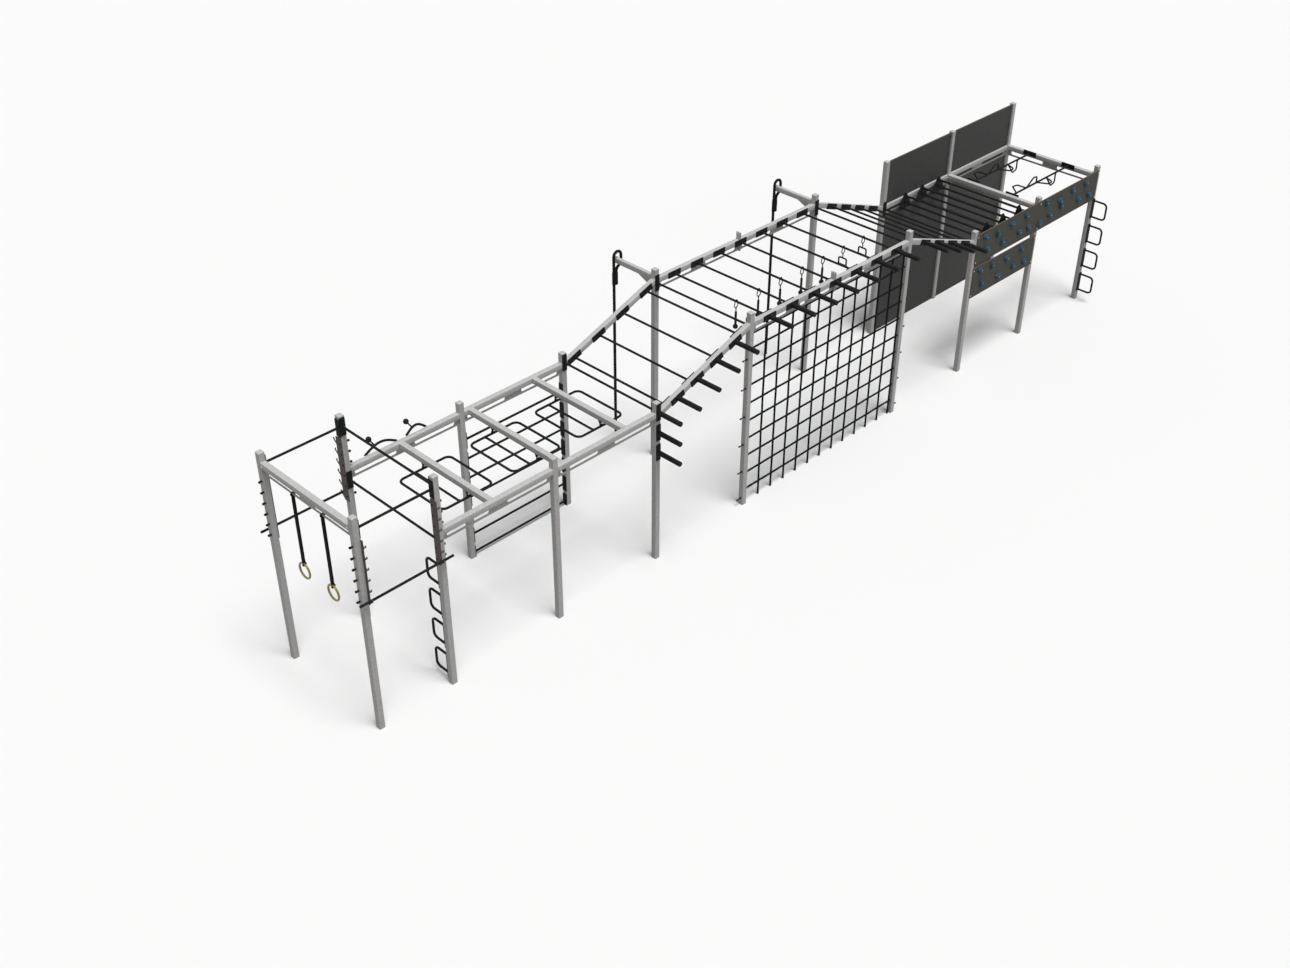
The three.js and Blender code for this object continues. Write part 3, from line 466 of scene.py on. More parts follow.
# Lacquered plywood: thin layers across the ring and a drawn-out grain
look = Look("ring_wood", 0.38, coat=0.35)
grain = look.noise(60, 5, 0.6, (5, 1, 1))
layers = look.mask(look.waves(115, "X", 0.6), 0.35, 0.75)
tone = look.tones(grain, (0.25, 0.205, 0.036), (0.44, 0.39, 0.09), low=0.28)
look.colour(look.blend(tone, (0.2, 0.15, 0.035), layers))
look.roughness(grain, 0.28, 0.5)
look.bump((grain, 0.2, 0.0005))

# Matt moulded rubber for grips and end plugs
look = Look("rubber", 0.85, specular=0.25)
pimples = node(look.tree, "ShaderNodeTexVoronoi", {"Scale": 420, "Vector": look.place})
look.colour(look.tones(look.noise(30, 4), (0.005, 0.005, 0.005), (0.013, 0.013, 0.014)))
look.roughness(look.noise(50, 3), 0.7, 0.9)
look.bump((pimples, 0.35, 0.0006))

# Sanded polyurethane, dark blue-green, dusted with chalk on its high spots
look = Look("hold_resin", 0.7)
tone = look.tones(look.noise(22, 4), (0.004, 0.03, 0.056), (0.009, 0.056, 0.096))
look.colour(look.blend(tone, (0.035, 0.1, 0.135), look.mask(look.noise(55, 5, 0.7), 0.6, 0.85)))
look.bump((look.noise(700, 3, 0.8), 0.8, 0.001))


def placed(name, data):
    made = bpy.data.objects.new(name, data)
    bpy.context.scene.collection.objects.link(made)
    return made


def piece(name, form, nodes, body="frame", edge=EDGE_ROUND, sharp=40):
    """One finished object: closed shells, rounded edges, riding on its body."""
    mesh = bpy.data.meshes.new(name)
    mesh.from_pydata([tuple(v) for v in form.verts], [], [face for face, _ in form.faces])
    used = sorted({finish for _, finish in form.faces})
    for finish in used:
        mesh.materials.append(FINISHES[finish])
    for polygon, (_, finish) in zip(mesh.polygons, form.faces):
        polygon.material_index = used.index(finish)
    shells = bmesh.new()
    shells.from_mesh(mesh)
    bmesh.ops.recalc_face_normals(shells, faces=shells.faces)
    shells.to_mesh(mesh)
    shells.free()
    mesh.shade_smooth()
    made = placed(name, mesh)
    if edge:
        rounding = made.modifiers.new("edges", "BEVEL")
        rounding.width = edge
        rounding.segments = 2
        rounding.limit_method = "ANGLE"
        rounding.angle_limit = math.radians(sharp)
        rounding.harden_normals = True
    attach(made, body)
    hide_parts(*nodes)
    return made


# Camera at the photograph's angle, solved from the posts
IMAGE_WIDTH = 1290
FOCAL_PIXELS = 1509.85
CAMERA_PLACE = vec(-7.1164, -11.592, 12.905)
CAMERA_YAW = math.radians(44.903)
CAMERA_PITCH = math.radians(35.159)
CAMERA_ROLL = math.radians(0.036)
optics = bpy.data.cameras.new("camera")
optics.sensor_width = 36
optics.lens = FOCAL_PIXELS / IMAGE_WIDTH * optics.sensor_width
optics.clip_end = 200
level = math.cos(CAMERA_PITCH)
ahead = vec(math.cos(CAMERA_YAW) * level, math.sin(CAMERA_YAW) * level, -math.sin(CAMERA_PITCH))
right = Quaternion(ahead, -CAMERA_ROLL) @ vec(math.sin(CAMERA_YAW), -math.cos(CAMERA_YAW), 0)
camera_turn = Matrix((right, right.cross(ahead), -ahead)).transposed().to_4x4()
camera = placed("camera", optics)
camera.matrix_world = Matrix.Translation(CAMERA_PLACE) @ camera_turn
bpy.context.scene.camera = camera

# Laid ropes
LAY_PER_DIAMETER = 3.2
STRANDS = 3


def resampled(points, step):
    """The same route on a smooth curve through its points, about one step apart."""
    path = []
    for i in range(len(points) - 1):
        before = points[max(i - 1, 0)]
        a, b = points[i], points[i + 1]
        after = points[min(i + 2, len(points) - 1)]
        parts = max(1, round((b - a).length / step))
        for s in range(parts):
            t = s / parts
            path.append(0.5 * ((2 * a) + (b - before) * t + (2 * before - 5 * a + 4 * b - after) * t ** 2
                               + (3 * a - before - 3 * b + after) * t ** 3))
    path.append(points[-1])
    return path


def laid_rope(path, diameter, finish, per_strand):
    """A rope of twisted strands along a fine path."""
    count = STRANDS * per_strand
    rings = []
    run = 0.0
    for i, (centre, u, v) in enumerate(sections(path)):
        if i:
            run += (path[i] - path[i - 1]).length
        twist = 360 * run / (LAY_PER_DIAMETER * diameter)
        ring = []
        for k in range(count):
            swell = 0.86 + 0.22 * abs(math.cos(math.pi * STRANDS * k / count))
            p, q = polar(swell * diameter / 2, 360 * k / count + twist)
            ring.append(centre + u * p + v * q)
        rings.append(ring)
    return loft(rings, finish)


ROPE = 0.044
ROPE_STEP = 0.011
ROPE_INSET = 0.055
ARM_REACH = 0.78
ROPE_Y = ROW_PITCH + HALF + ARM_REACH - ROPE_INSET
ROPE_SIDE = -0.072
TAIL_SIDE = -0.026
ROPE_ROUTE = [(ROPE_SIDE, 0.04 + 0.132 * k) for k in range(23)] + [
    (ROPE_SIDE, 3.078), (-0.062, 3.114), (-0.036, 3.14), (0, 3.15), (0.036, 3.14),
    (0.062, 3.114), (0.072, 3.078), (0.072, 2.995), (0.06, 2.955), (0.034, 2.926),
    (0.002, 2.905), (-0.02, 2.872), (TAIL_SIDE, 2.83), (TAIL_SIDE, 2.73), (TAIL_SIDE, 2.63)]
BINDING_FOOT = 2.64
BINDING_TOP = 2.825
TWINE = 0.0034


def binding(x):
    """Twine wound tightly round both strands of the rope below its eye."""
    reach = 1.08 * ROPE / 2 + TWINE / 2
    loop = arc(ROPE_SIDE, 0, reach, 90, 270, 8) + arc(TAIL_SIDE, 0, reach, -90, 90, 8)
    path = []
    for turn in range(int((BINDING_TOP - BINDING_FOOT) / TWINE)):
        for i, (px, py) in enumerate(loop):
            z = BINDING_FOOT + TWINE * (turn + 0.5 + i / len(loop))
            path.append(vec(x + px, ROPE_Y + py, min(z, BINDING_TOP - TWINE / 2)))
    return tube(path, TWINE / 2 * 1.05, "webbing", sides=6)


for number, x in enumerate(COLUMNS[4:6], 1):
    route = [vec(x + px, ROPE_Y, z) for px, z in ROPE_ROUTE]
    path = resampled(route, ROPE_STEP)
    rope = piece(f"rope_{number}_laid", laid_rope(path, ROPE, "rope_fibre", 5), [f"climb_rope_{number}"],
                 edge=0)
    bound = piece(f"rope_{number}_twine", binding(x), [f"rope_binding_{number}"], edge=0)


# Posts and what is fixed to them, drawn on the post's +X face and turned to others
def square_tube(start, end, width=2 * HALF, depth=2 * HALF):
    """A square tube along one axis, its depth upright where it lies level."""
    way = (end - start).normalized()
    up = UP if abs(way.z) < 0.5 else ALONG
    side = way.cross(up).normalized()
    outline = rounded(width, depth, TUBE_CORNER)
    return loft([[c + side * p + up * q for p, q in outline] for c in (start, end)], PAINT)


def post_body(height):
    """A post under a domed plastic cap that stands a little proud of its sides."""
    band = height - CAP_RISE
    wide = 2 * (HALF + CAP_LIP)
    steps = [(band - CAP_BAND, wide, 0.006), (band, wide, 0.006)]
    steps += [(band + CAP_RISE * rise, wide * share, 0.006 + 0.01 * rise)
              for rise, share in ((0.25, 0.94), (0.55, 0.82), (0.8, 0.62), (0.95, 0.38), (1.0, 0.22))]
    rings = [[vec(x, y, z) for x, y in rounded(size, size, min(corner, size / 2.2))]
             for z, size, corner in steps]
    body = square_tube(vec(0, 0, 0), vec(0, 0, band - CAP_BAND + LAP))
    return body.add(loft(rings, "cap_plastic"))


def face_plate(height, length=PLATE_LENGTH):
    low = max(0.0, height - length / 2)
    high = height + length / 2
    form = block(ROOT, FACE, -HALF, HALF, low, high)
    for z in (low + BOLT_INSET, high - BOLT_INSET):
        form.add(bolt(vec(FACE, 0, z), ALONG, BLACK))
    return form


def cross_bar(height, pitch):
    """A bar to the next post, with a bolted plate on each."""
    far = pitch - HALF - SEAT
    form = face_plate(height).add(face_plate(height).mirror("X").move(pitch - SEAT))
    form.add(rod(vec(HALF, 0, height), vec(far - LAP, 0, height), BAR))
    return form.add(*[weld(vec(x, 0, height), ALONG, BAR) for x in (FACE, far - PLATE)])


def row_bar(height):
    return cross_bar(height, ROW_PITCH).turn(-90)


def peg(start, direction):
    """A thick tube peg with its end plug."""
    tip = start + direction * (PLATE + PEG_LENGTH)
    return Form().add(
        turned(start, tip - direction * 0.004, [(0, PEG), (1, PEG)], sides=32),
        turned(tip - direction * 0.005, tip, [(0, PEG), (0.6, PEG), (1, PEG * 0.94)], "rubber", 32),
        weld(start + direction * PLATE, direction, PEG))


def face_peg(height):
    return face_plate(height).add(peg(vec(HALF, 0, height), ALONG))


HOOKS = 6
HOOK_PITCH = 0.156
HOOK_FIRST = 1.995
HOOK_FOOT = 1.9
HOOK_STRIP = 0.031
HOOK_REACH = 0.05
HOOK_POCKET = 0.018
HOOK_TIP = 0.019
HOOK_TIP_RISE = 0.022
HOOK_ROOT = 0.058
STUD = 0.011
STUD_LENGTH = 0.046
STUD_ASIDE = 0.012
STUD_DROP = 0.018
KNOB = 0.016
KNOB_SHARE = 0.42


def stud(start, end):
    """The end of a through bolt: a washer, the shank and a round knob."""
    profile = [(0, WASHER), (0.06, WASHER), (0.06, STUD), (KNOB_SHARE, STUD), (KNOB_SHARE + 0.04, KNOB),
               (0.9, KNOB), (1, KNOB * 0.72)]
    return turned(start, end, profile, sides=18)


def hook_plate(rail_behind=False):
    """Plate with a row of upturned hooks past the -Y face, bolted right through the post."""
    edge = HALF + HOOK_STRIP
    pocket = HALF + HOOK_REACH
    lip = pocket + HOOK_POCKET
    top = HOOK_FIRST + (HOOKS - 1) * HOOK_PITCH + HOOK_ROOT
    outline = [(-HALF, HOOK_FOOT), (HALF, HOOK_FOOT)]
    form = Form()
    for k in range(HOOKS):
        z = HOOK_FIRST + k * HOOK_PITCH
        outline += [(edge, z - HOOK_ROOT), (lip + HOOK_TIP, z - 0.004),
                    (lip + HOOK_TIP * 0.8, z + HOOK_TIP_RISE), (lip + HOOK_TIP * 0.25, z + HOOK_TIP_RISE)]
        outline += arc(pocket, z, HOOK_POCKET, 0, -180, 10)
        outline.append((edge, z + HOOK_POCKET))
        low = z - STUD_DROP
        if not (rail_behind and low + KNOB > LOW_TOP - RAIL_DEPTH and low - KNOB < LOW_TOP):
            form.add(stud(vec(-HALF + LAP, STUD_ASIDE, low), vec(-HALF - STUD_LENGTH, STUD_ASIDE, low)))
        form.add(bolt(vec(FACE, STUD_ASIDE, low), ALONG, BLACK))
    outline += [(edge, top), (-HALF, top)]
    return form.add(plate(outline, ROOT, FACE, "hook_steel").turn(-90))


STEPS = 4
STEP_PITCH = 0.47
STEP_DROP = 0.3
STEP_OUT = HALF + 0.262


def step_set(top):
    """D-shaped steps below one another, each tube on a bolted plate."""
    form = Form()
    root = HALF + PLATE / 2
    for k in range(STEPS):
        z = top - k * STEP_PITCH
        low = z - STEP_DROP
        corners = [vec(root, 0, z), vec(STEP_OUT, 0, z), vec(STEP_OUT, 0, low), vec(root, 0, low)]
        form.add(face_plate(z + 0.028 - 0.175, 0.35), tube(bend_path(corners, 0.065), BAR))
        form.add(*[weld(vec(FACE, 0, height), ALONG, BAR) for height in (z, low)])
    return form


ARM_TOP = TALL - 0.11
ARM_WIDTH = 0.06
ARM_DEPTH = 0.08
ARM_PLUG = 0.004
GUSSET_REACH = 0.33
GUSSET_DROP = 0.145
HOLE_OUT = 0.08
HOLE_DROP = 0.02


def rope_arm():
    """Tube arm with an end plug, a drilled gusset, and the pin that the rope's eye sits on."""
    foot = ARM_TOP - ARM_DEPTH
    middle = ARM_TOP - ARM_DEPTH / 2
    end = HALF + ARM_REACH
    at = end - ROPE_INSET
    form = square_tube(vec(ROOT, 0, middle), vec(end - ARM_PLUG, 0, middle), ARM_WIDTH, ARM_DEPTH)
    outline = rounded(ARM_WIDTH, ARM_DEPTH, TUBE_CORNER)
    form.add(loft([[vec(x, p, middle + q) for p, q in outline] for x in (end - ARM_PLUG, end)], "rubber"))
    triangle = [(-HOLE_OUT - LAP, HOLE_DROP - GUSSET_DROP), (GUSSET_REACH - HOLE_OUT, HOLE_DROP + LAP),
                (-HOLE_OUT - LAP, HOLE_DROP + LAP)]
    gusset = bored_plate(triangle, 0, 0.01, -0.005, 0.005, PAINT)
    form.add(gusset.move(HALF + HOLE_OUT, 0, foot - HOLE_DROP))
    form.add(rod(vec(at, -0.051, middle), vec(at, 0.051, middle), 0.009, "zinc", 16))
    return form.add(block(ROOT, HALF + 0.008, -0.038, 0.038, foot - GUSSET_DROP - 0.012,
                          ARM_TOP + 0.012, PAINT))


NET_STUD = [(0, 0.018), (0.03, 0.018), (0.03, 0.0075), (0.7, 0.0075), (0.72, 0.012), (0.92, 0.012),
            (1, 0.008)]


def net_bolts():
    """Studs that carry the net, each with a washer and a round knob."""
    heights = [0.109 + 0.465 * k for k in range(6)]
    return Form().add(*[turned(vec(ROOT, 0, z), vec(HALF + 0.09, 0, z), NET_STUD, sides=16)
                        for z in heights])


ENTRY_BAR = TALL - 0.18
STALL_HEIGHTS = [0.065 + 0.311 * k for k in range(7)]
PEG_HEIGHTS = [SHORT - 0.15 - 0.31 * k for k in range(3)]
arm_post = [row_bar(TALL - 0.22), rope_arm().turn(90)]
front_fittings = {
    0: [cross_bar(ENTRY_BAR, ENTRY_PITCH), hook_plate()],
    1: [hook_plate(True).mirror("X"), step_set(1.825).turn(90)],
    3: [face_peg(z).turn(-90) for z in PEG_HEIGHTS],
    4: [net_bolts().mirror("X")],
    5: [net_bolts()],
    8: [step_set(1.902).turn(-90)],
}
back_fittings = {
    0: [cross_bar(ENTRY_BAR, ENTRY_PITCH), hook_plate().mirror("Y")],
    1: [hook_plate(True).mirror("Y").mirror("X"), row_bar(TALL - 0.16), row_bar(LOW_TOP - 0.165)],
    2: [cross_bar(z, BAY_PITCH) for z in STALL_HEIGHTS],
    3: [row_bar(SHORT - 0.15)],
    4: arm_post,
    5: arm_post,
    6: [row_bar(LOW_TOP - 0.055)],
}
for i, column in enumerate(COLUMNS):
    front = post_body(TALL if i in FRONT_TALL else SHORT).add(*front_fittings.get(i, []))
    back = post_body(SHORT if i in BACK_SHORT else TALL).add(*back_fittings.get(i, []))
    piece(f"front_post_{i}", front.move(column), [f"post_f{i}"])
    piece(f"back_post_{i}", back.move(column, ROW_PITCH), [f"post_b{i}"])


# Rails: drawn along X from 0 to their length, centred on Y, top at 0
def slotted_rail(length, bolted=(-1, 1)):
    """A square tube over a web with two long slots, bolted on the given sides at its ends."""
    top = -2 * HALF
    low = top - SLOT_HEIGHT
    r = SLOT_CORNER
    outline = [(0, top + LAP), (0, -RAIL_DEPTH), (length, -RAIL_DEPTH), (length, top + LAP)]
    for x0, x1 in (((length + SLOT_WEB) / 2, length - SLOT_END), (SLOT_END, (length - SLOT_WEB) / 2)):
        outline.append((x1 - r, top + LAP))
        for x, z, start in ((x1 - r, top - r, 90), (x1 - r, low + r, 0), (x0 + r, low + r, -90),
                            (x0 + r, top - r, -180)):
            outline += arc(x, z, r, start, start - 90, 5)
        outline.append((x0 + r, top + LAP))
    form = square_tube(vec(0, 0, -HALF), vec(length, 0, -HALF))
    form.add(plate(outline, -WEB_THICK / 2, WEB_THICK / 2, PAINT))
    for x in (0.03, length - 0.03):
        form.add(*[bolt(vec(x, side * HALF, -HALF), ACROSS * side) for side in bolted])
    return form


BAY = BAY_PITCH - 2 * HALF - 2 * SEAT
CROSS = ROW_PITCH - 2 * HALF - 2 * SEAT
START = HALF + SEAT


def horn(start, chord):
    """Bent bar welded to the rail's far side, with a ball on a short stem."""
    y = HALF + BAR - 0.004
    path = [vec(start + chord * s / 24, y, -0.01 + 0.095 * math.sin(math.pi * s / 24)) for s in range(25)]
    foot = path[8]
    tip = foot + vec(0, 0.126, 0.03)
    return tube(path, BAR).add(rod(foot, tip, 0.01), weld(foot + ACROSS * BAR, ACROSS, 0.01),
                               ball(tip, 0.038))


piece("end_beam_tube", slotted_rail(CROSS).turn(90).move(0, START, END_TOP), ["end_beam"])
for name in ("f1", "f2", "b1", "b2", "f7", "b7"):
    rail = slotted_rail(BAY)
    if name == "b1":
        rail.add(horn(0.276, 0.495), horn(0.923, 0.312))
    y = ROW_PITCH if name[0] == "b" else 0
    piece(f"rail_{name}_tube", rail.move(COLUMNS[int(name[1])] + START, y, LOW_TOP), [f"rail_{name}"])

# Cross beams and tilting ladders
LADDER_X = 0.4
LADDER_Y = 0.435
LADDER_RUNG_X = 0.133
LADDER_RUNG = BAR * 0.95
PIVOT_DROP = 0.055
TUBES_DROP = 0.05
HUB = 0.022
EAR = 0.01
PIN = 0.008
BEAMS = [COLUMNS[1] + 0.82, COLUMNS[2] + 0.15, COLUMNS[2] + 1.25]


def upper_pivot():
    """The plate under the beam's +Y end with its pin and hexagon head."""
    inner = LADDER_Y - EAR / 2 - SEAT - EAR
    outer = LADDER_Y + EAR / 2 + SEAT + 0.008
    trapezoid = [(-HALF, PIVOT_DROP + LAP), (-HUB * 0.9, 0), (HUB * 0.9, 0), (HALF, PIVOT_DROP + LAP)]
    form = bored_plate(trapezoid, HUB, PIN * 0.9, inner, inner + EAR)
    form.add(turned(vec(0, inner - 0.009, 0), vec(0, outer, 0),
                    [(0, 0.011), (0.28, 0.012), (0.28, PIN), (0.74, PIN)], "zinc", 16))
    form.add(turned(vec(0, outer - 0.008, 0), vec(0, outer, 0),
                    [(0, 0.014), (0.7, 0.014), (1, 0.011)], "zinc", 6))
    return form.move(z=-PIVOT_DROP - 2 * HALF)


def cross_beam():
    form = square_tube(vec(0, -CROSS / 2, -HALF), vec(0, CROSS / 2, -HALF))
    form.add(upper_pivot(), upper_pivot().mirror("Y"))
    return form.add(*[bolt(vec(out * HALF, y, -HALF), ALONG * out)
                      for y in (0.03 - CROSS / 2, CROSS / 2 - 0.03) for out in (1, -1)])


def tilting_ladder():
    """A rounded tube frame with two rungs, hung from bored ears at its ends."""
    z = -TUBES_DROP
    corners = [vec(LADDER_X, LADDER_Y, z), vec(-LADDER_X, LADDER_Y, z), vec(-LADDER_X, -LADDER_Y, z),
               vec(LADDER_X, -LADDER_Y, z)]
    form = tube(bend_path(corners, 0.08, closed=True), BAR, closed=True)
    trapezoid = [(-0.036, z), (0.036, z), (HUB * 0.9, 0), (-HUB * 0.9, 0)]
    for side in (1, -1):
        x = side * LADDER_RUNG_X
        middle = side * LADDER_Y
        form.add(rod(vec(x, -LADDER_Y, z), vec(x, LADDER_Y, z), LADDER_RUNG))
        form.add(*[weld(vec(x, y * (LADDER_Y - BAR), z), ACROSS, LADDER_RUNG) for y in (-1, 1)])
        form.add(bored_plate(trapezoid, HUB, PIN + SEAT, middle - EAR / 2, middle + EAR / 2))
    return form


for i, x in enumerate(BEAMS, 1):
    beam = cross_beam().move(x, ROW_PITCH / 2, LOW_TOP)
    hung = tilting_ladder().move(x, ROW_PITCH / 2, LOW_TOP - 2 * HALF - PIVOT_DROP)
    piece(f"beam_{i}_tube", beam, [f"cross_beam_{i}"])
    piece(f"ladder_{i}_tubes", hung, [f"ladder_{i}"], f"ladder_{i}")


# Rungs and pegs on pairs of rails
def side_plate(x, z, tilt, side, out):
    """A tilted plate on the rail's side at a place in Y, bolted from outside near both ends."""
    half = PLATE_LENGTH / 2
    outer = side + out * PLATE
    form = block(-half, half, side - out * LAP, outer, -SIDE_PLATE / 2, SIDE_PLATE / 2)
    for end in (-1, 1):
        form.add(bolt(vec(end * (half - 0.026), outer, 0), ACROSS * out, BLACK))
    return form.turn(tilt, "Y").move(x, 0, z)


def rung_set(x, z, tilt):
    far = ROW_PITCH - HALF
    form = side_plate(x, z, tilt, HALF, 1).add(side_plate(x, z, tilt, far, -1))
    form.add(rod(vec(x, HALF, z), vec(x, far, z), BAR))
    return form.add(*[weld(vec(x, y, z), ACROSS, BAR) for y in (FACE, far - PLATE)])


def peg_set(x, z, tilt):
    return side_plate(x, z, tilt, -HALF, -1).add(peg(vec(x, -HALF, z), -ACROSS))


SLOPE = math.atan2(HIGH_TOP - LOW_TOP, BAY_PITCH - 2 * HALF)
SLOPE_DROP = HALF / math.cos(SLOPE)


def slope_middle(x):
    return (x - HALF) * math.tan(SLOPE) - SLOPE_DROP


def sloping_frame(rungs, pegs):
    """Two rails cut upright at the posts, with what is fixed to them."""
    outline = rounded(2 * HALF, 2 * SLOPE_DROP, TUBE_CORNER)
    tilt = -math.degrees(SLOPE)
    form = Form()
    for y in (0, ROW_PITCH):
        form.add(loft([[vec(x, y + p, slope_middle(x) + q) for p, q in outline]
                       for x in (START, BAY_PITCH - START)], PAINT))
    form.add(*[rung_set(x, slope_middle(x), tilt) for x in rungs])
    return form.add(*[peg_set(x, slope_middle(x), tilt) for x in pegs])


climb = sloping_frame([0.188 + 0.463 * k for k in range(4)], [0.36 + 0.366 * k for k in range(4)])
piece("climb_rails", climb.move(COLUMNS[3], 0, LOW_TOP), ["frame_climb"])
descent_places = [BAY_PITCH - 0.38 - 0.366 * k for k in range(4)]
descent = sloping_frame(descent_places, descent_places).mirror("X")
piece("descent_rails", descent.move(COLUMNS[6], 0, LOW_TOP), ["frame_descent"])

HIGH_MIDDLE = HIGH_PITCH / 2
HIGH_RUNGS = [HIGH_MIDDLE + (k - 3) * 0.47 for k in range(7)]


def high_rail():
    """Two slotted lengths, their flanges bolted together over the middle of the bay."""
    half = HIGH_MIDDLE - START - FLANGE
    form = slotted_rail(half).move(START).add(slotted_rail(half).move(HIGH_MIDDLE + FLANGE))
    for side in (-1, 1):
        outer = HIGH_MIDDLE + side * (FLANGE + LAP)
        form.add(block(HIGH_MIDDLE + side * FLANGE_GAP, outer, -HALF, HALF, -RAIL_DEPTH, FLANGE_RISE,
                       PAINT))
        for z in (FLANGE_RISE - 0.022, 0.03):
            form.add(*[bolt(vec(outer, y, z), ALONG * side) for y in (-0.02, 0.02)])
    return form


high = high_rail().add(high_rail().move(y=ROW_PITCH))
for x in HIGH_RUNGS:
    high.add(rung_set(x, -HALF, 0), peg_set(x, -HALF, 0))
piece("high_rails", high.move(COLUMNS[4], 0, HIGH_TOP), ["frame_high"])

# Three-bar units of the double bay
UNIT_FIRST = 0.47
UNIT_PITCH = 0.46
UNIT_DROP = 0.064
UNIT_GAP = 0.06
UNIT_REACH = 0.1175
UNIT_TURNS = [92.85 + 120 * k for k in range(3)]
UNIT_BARS = [polar(UNIT_REACH, turn) for turn in UNIT_TURNS]
LOBE = 0.054
WAIST = 0.111
AXLE = [(0, 0.02), (0.16, 0.02), (0.16, 0.015), (0.8, 0.015), (0.8, 0.021), (1, 0.021)]


def unit_plate():
    """Outline of a three-lobed end plate, its waists drawn in between the lobes."""
    outline = []
    for turn, (x, z) in zip(UNIT_TURNS, UNIT_BARS):
        outline += arc(x, z, LOBE, turn - 80, turn + 80, 8)
        outline.append(polar(WAIST, turn + 60))
    return outline


def bar_unit():
    """Three bars between two end plates, on stub axles that stand on the rails' inner sides."""
    form = Form()
    for side, face in ((1, HALF), (-1, ROW_PITCH - HALF)):
        inner = face + side * UNIT_GAP
        hub = inner + side * PLATE
        form.add(plate(unit_plate(), inner, hub))
        form.add(turned(vec(0, face - side * LAP, 0), vec(0, inner + side * LAP, 0), AXLE, sides=24))
        form.add(turned(vec(0, hub - side * LAP, 0), vec(0, hub + side * 0.012, 0),
                        [(0, 0.018), (0.8, 0.018), (1, 0.014)], sides=6))
        form.add(*[weld(vec(x, hub, z), ACROSS, BAR) for x, z in UNIT_BARS])
    near = HALF + UNIT_GAP + PLATE / 2
    return form.add(*[rod(vec(x, near, z), vec(x, ROW_PITCH - near, z), BAR) for x, z in UNIT_BARS])


double = slotted_rail(BAY).move(START).add(slotted_rail(BAY).move(START, ROW_PITCH))
double.add(*[bar_unit().move(UNIT_FIRST + UNIT_PITCH * k, 0, -UNIT_DROP) for k in range(3)])
piece("double_rails", double.move(COLUMNS[6], 0, LOW_TOP), ["frame_double"])

# Loop bars of the last bay
LOOP_DROP = 0.01
LOOP_FIRST = 0.387
LOOP_PITCH = 0.302
LOOP_LENGTH = 0.29
LOOP_REACH = 0.205
LOOP_TUBE = 0.013

# Each loop's turn in degrees and its share of the full reach
LOOPS = [(0, 1), (-75, 0.7), (-180, 0.6), (-271, 0.95)]


def loop_bar(y):
    """A bar on two end plates, with triangular loops that each turn further round it."""
    z = -LOOP_DROP
    form = rod(vec(HALF, y, z), vec(BAY_PITCH - HALF, y, z), BAR)
    for near, out in ((HALF, 1), (BAY_PITCH - HALF, -1)):
        face = near + out * PLATE
        form.add(block(near - out * LAP, face, y - 0.125, y + 0.125, z - HALF, z + HALF))
        form.add(*[bolt(vec(face, y + side * 0.099, z), ALONG * out, BLACK) for side in (-1, 1)])
        form.add(weld(vec(face, y, z), ALONG, BAR))
    for k, (turn, share) in enumerate(LOOPS):
        reach = LOOP_REACH * share
        corners = upright([(0, 0), (LOOP_LENGTH * 0.62, -reach), (LOOP_LENGTH, -reach * 0.9),
                           (LOOP_LENGTH, 0)])
        loop = tube(bend_path(corners, 0.032), LOOP_TUBE)
        loop.add(weld(vec(LOOP_LENGTH, 0, -BAR), UP, LOOP_TUBE))
        x = BAY_PITCH - HALF - LOOP_FIRST - LOOP_PITCH * k - LOOP_LENGTH
        form.add(loop.turn(turn, "X").move(x, y, z))
    return form


loops = slotted_rail(CROSS).turn(90).move(y=START)
loops.add(slotted_rail(CROSS, bolted=(1,)).turn(90).move(BAY_PITCH, START))
loops.add(loop_bar(0.53), loop_bar(1.3))
piece("loop_rails", loops.move(COLUMNS[7], 0, LOW_TOP), ["frame_loops"])

# Salmon-ladder bars with their end plugs
SALMON_OVERHANG = 0.115
SALMON_PLUG = 0.0065
SALMON_Y = HALF + HOOK_REACH
SALMON_Z = HOOK_FIRST - HOOK_POCKET + BAR + SEAT


def salmon_bar():
    start = -SALMON_OVERHANG
    end = ENTRY_PITCH + SALMON_OVERHANG
    form = rod(vec(start + 0.006, 0, 0), vec(end - 0.006, 0, 0), BAR, sides=24)
    return form.add(*[rod(vec(x, 0, 0), vec(x + SALMON_PLUG, 0, 0), BAR * 0.98, "rubber", 24)
                      for x in (start, end - SALMON_PLUG)])


for name, y in (("front", -SALMON_Y), ("back", ROW_PITCH + SALMON_Y)):
    piece(f"salmon_{name}_tube", salmon_bar().move(0, y, SALMON_Z), [f"salmon_bar_{name}"],
          f"salmon_bar_{name}")

# Gym rings on webbing straps
RING = 0.104
RING_TUBE = 0.014
RING_DROP = 1.135
STRIP_MIDDLE = END_TOP - RAIL_DEPTH + 0.02
STRIP_REACH = 0.0236
STRIP_RISE = 0.0125
STRAP_WIDTH = 0.045
STRAP_THICK = 0.0024
STRAP_APART = 0.003


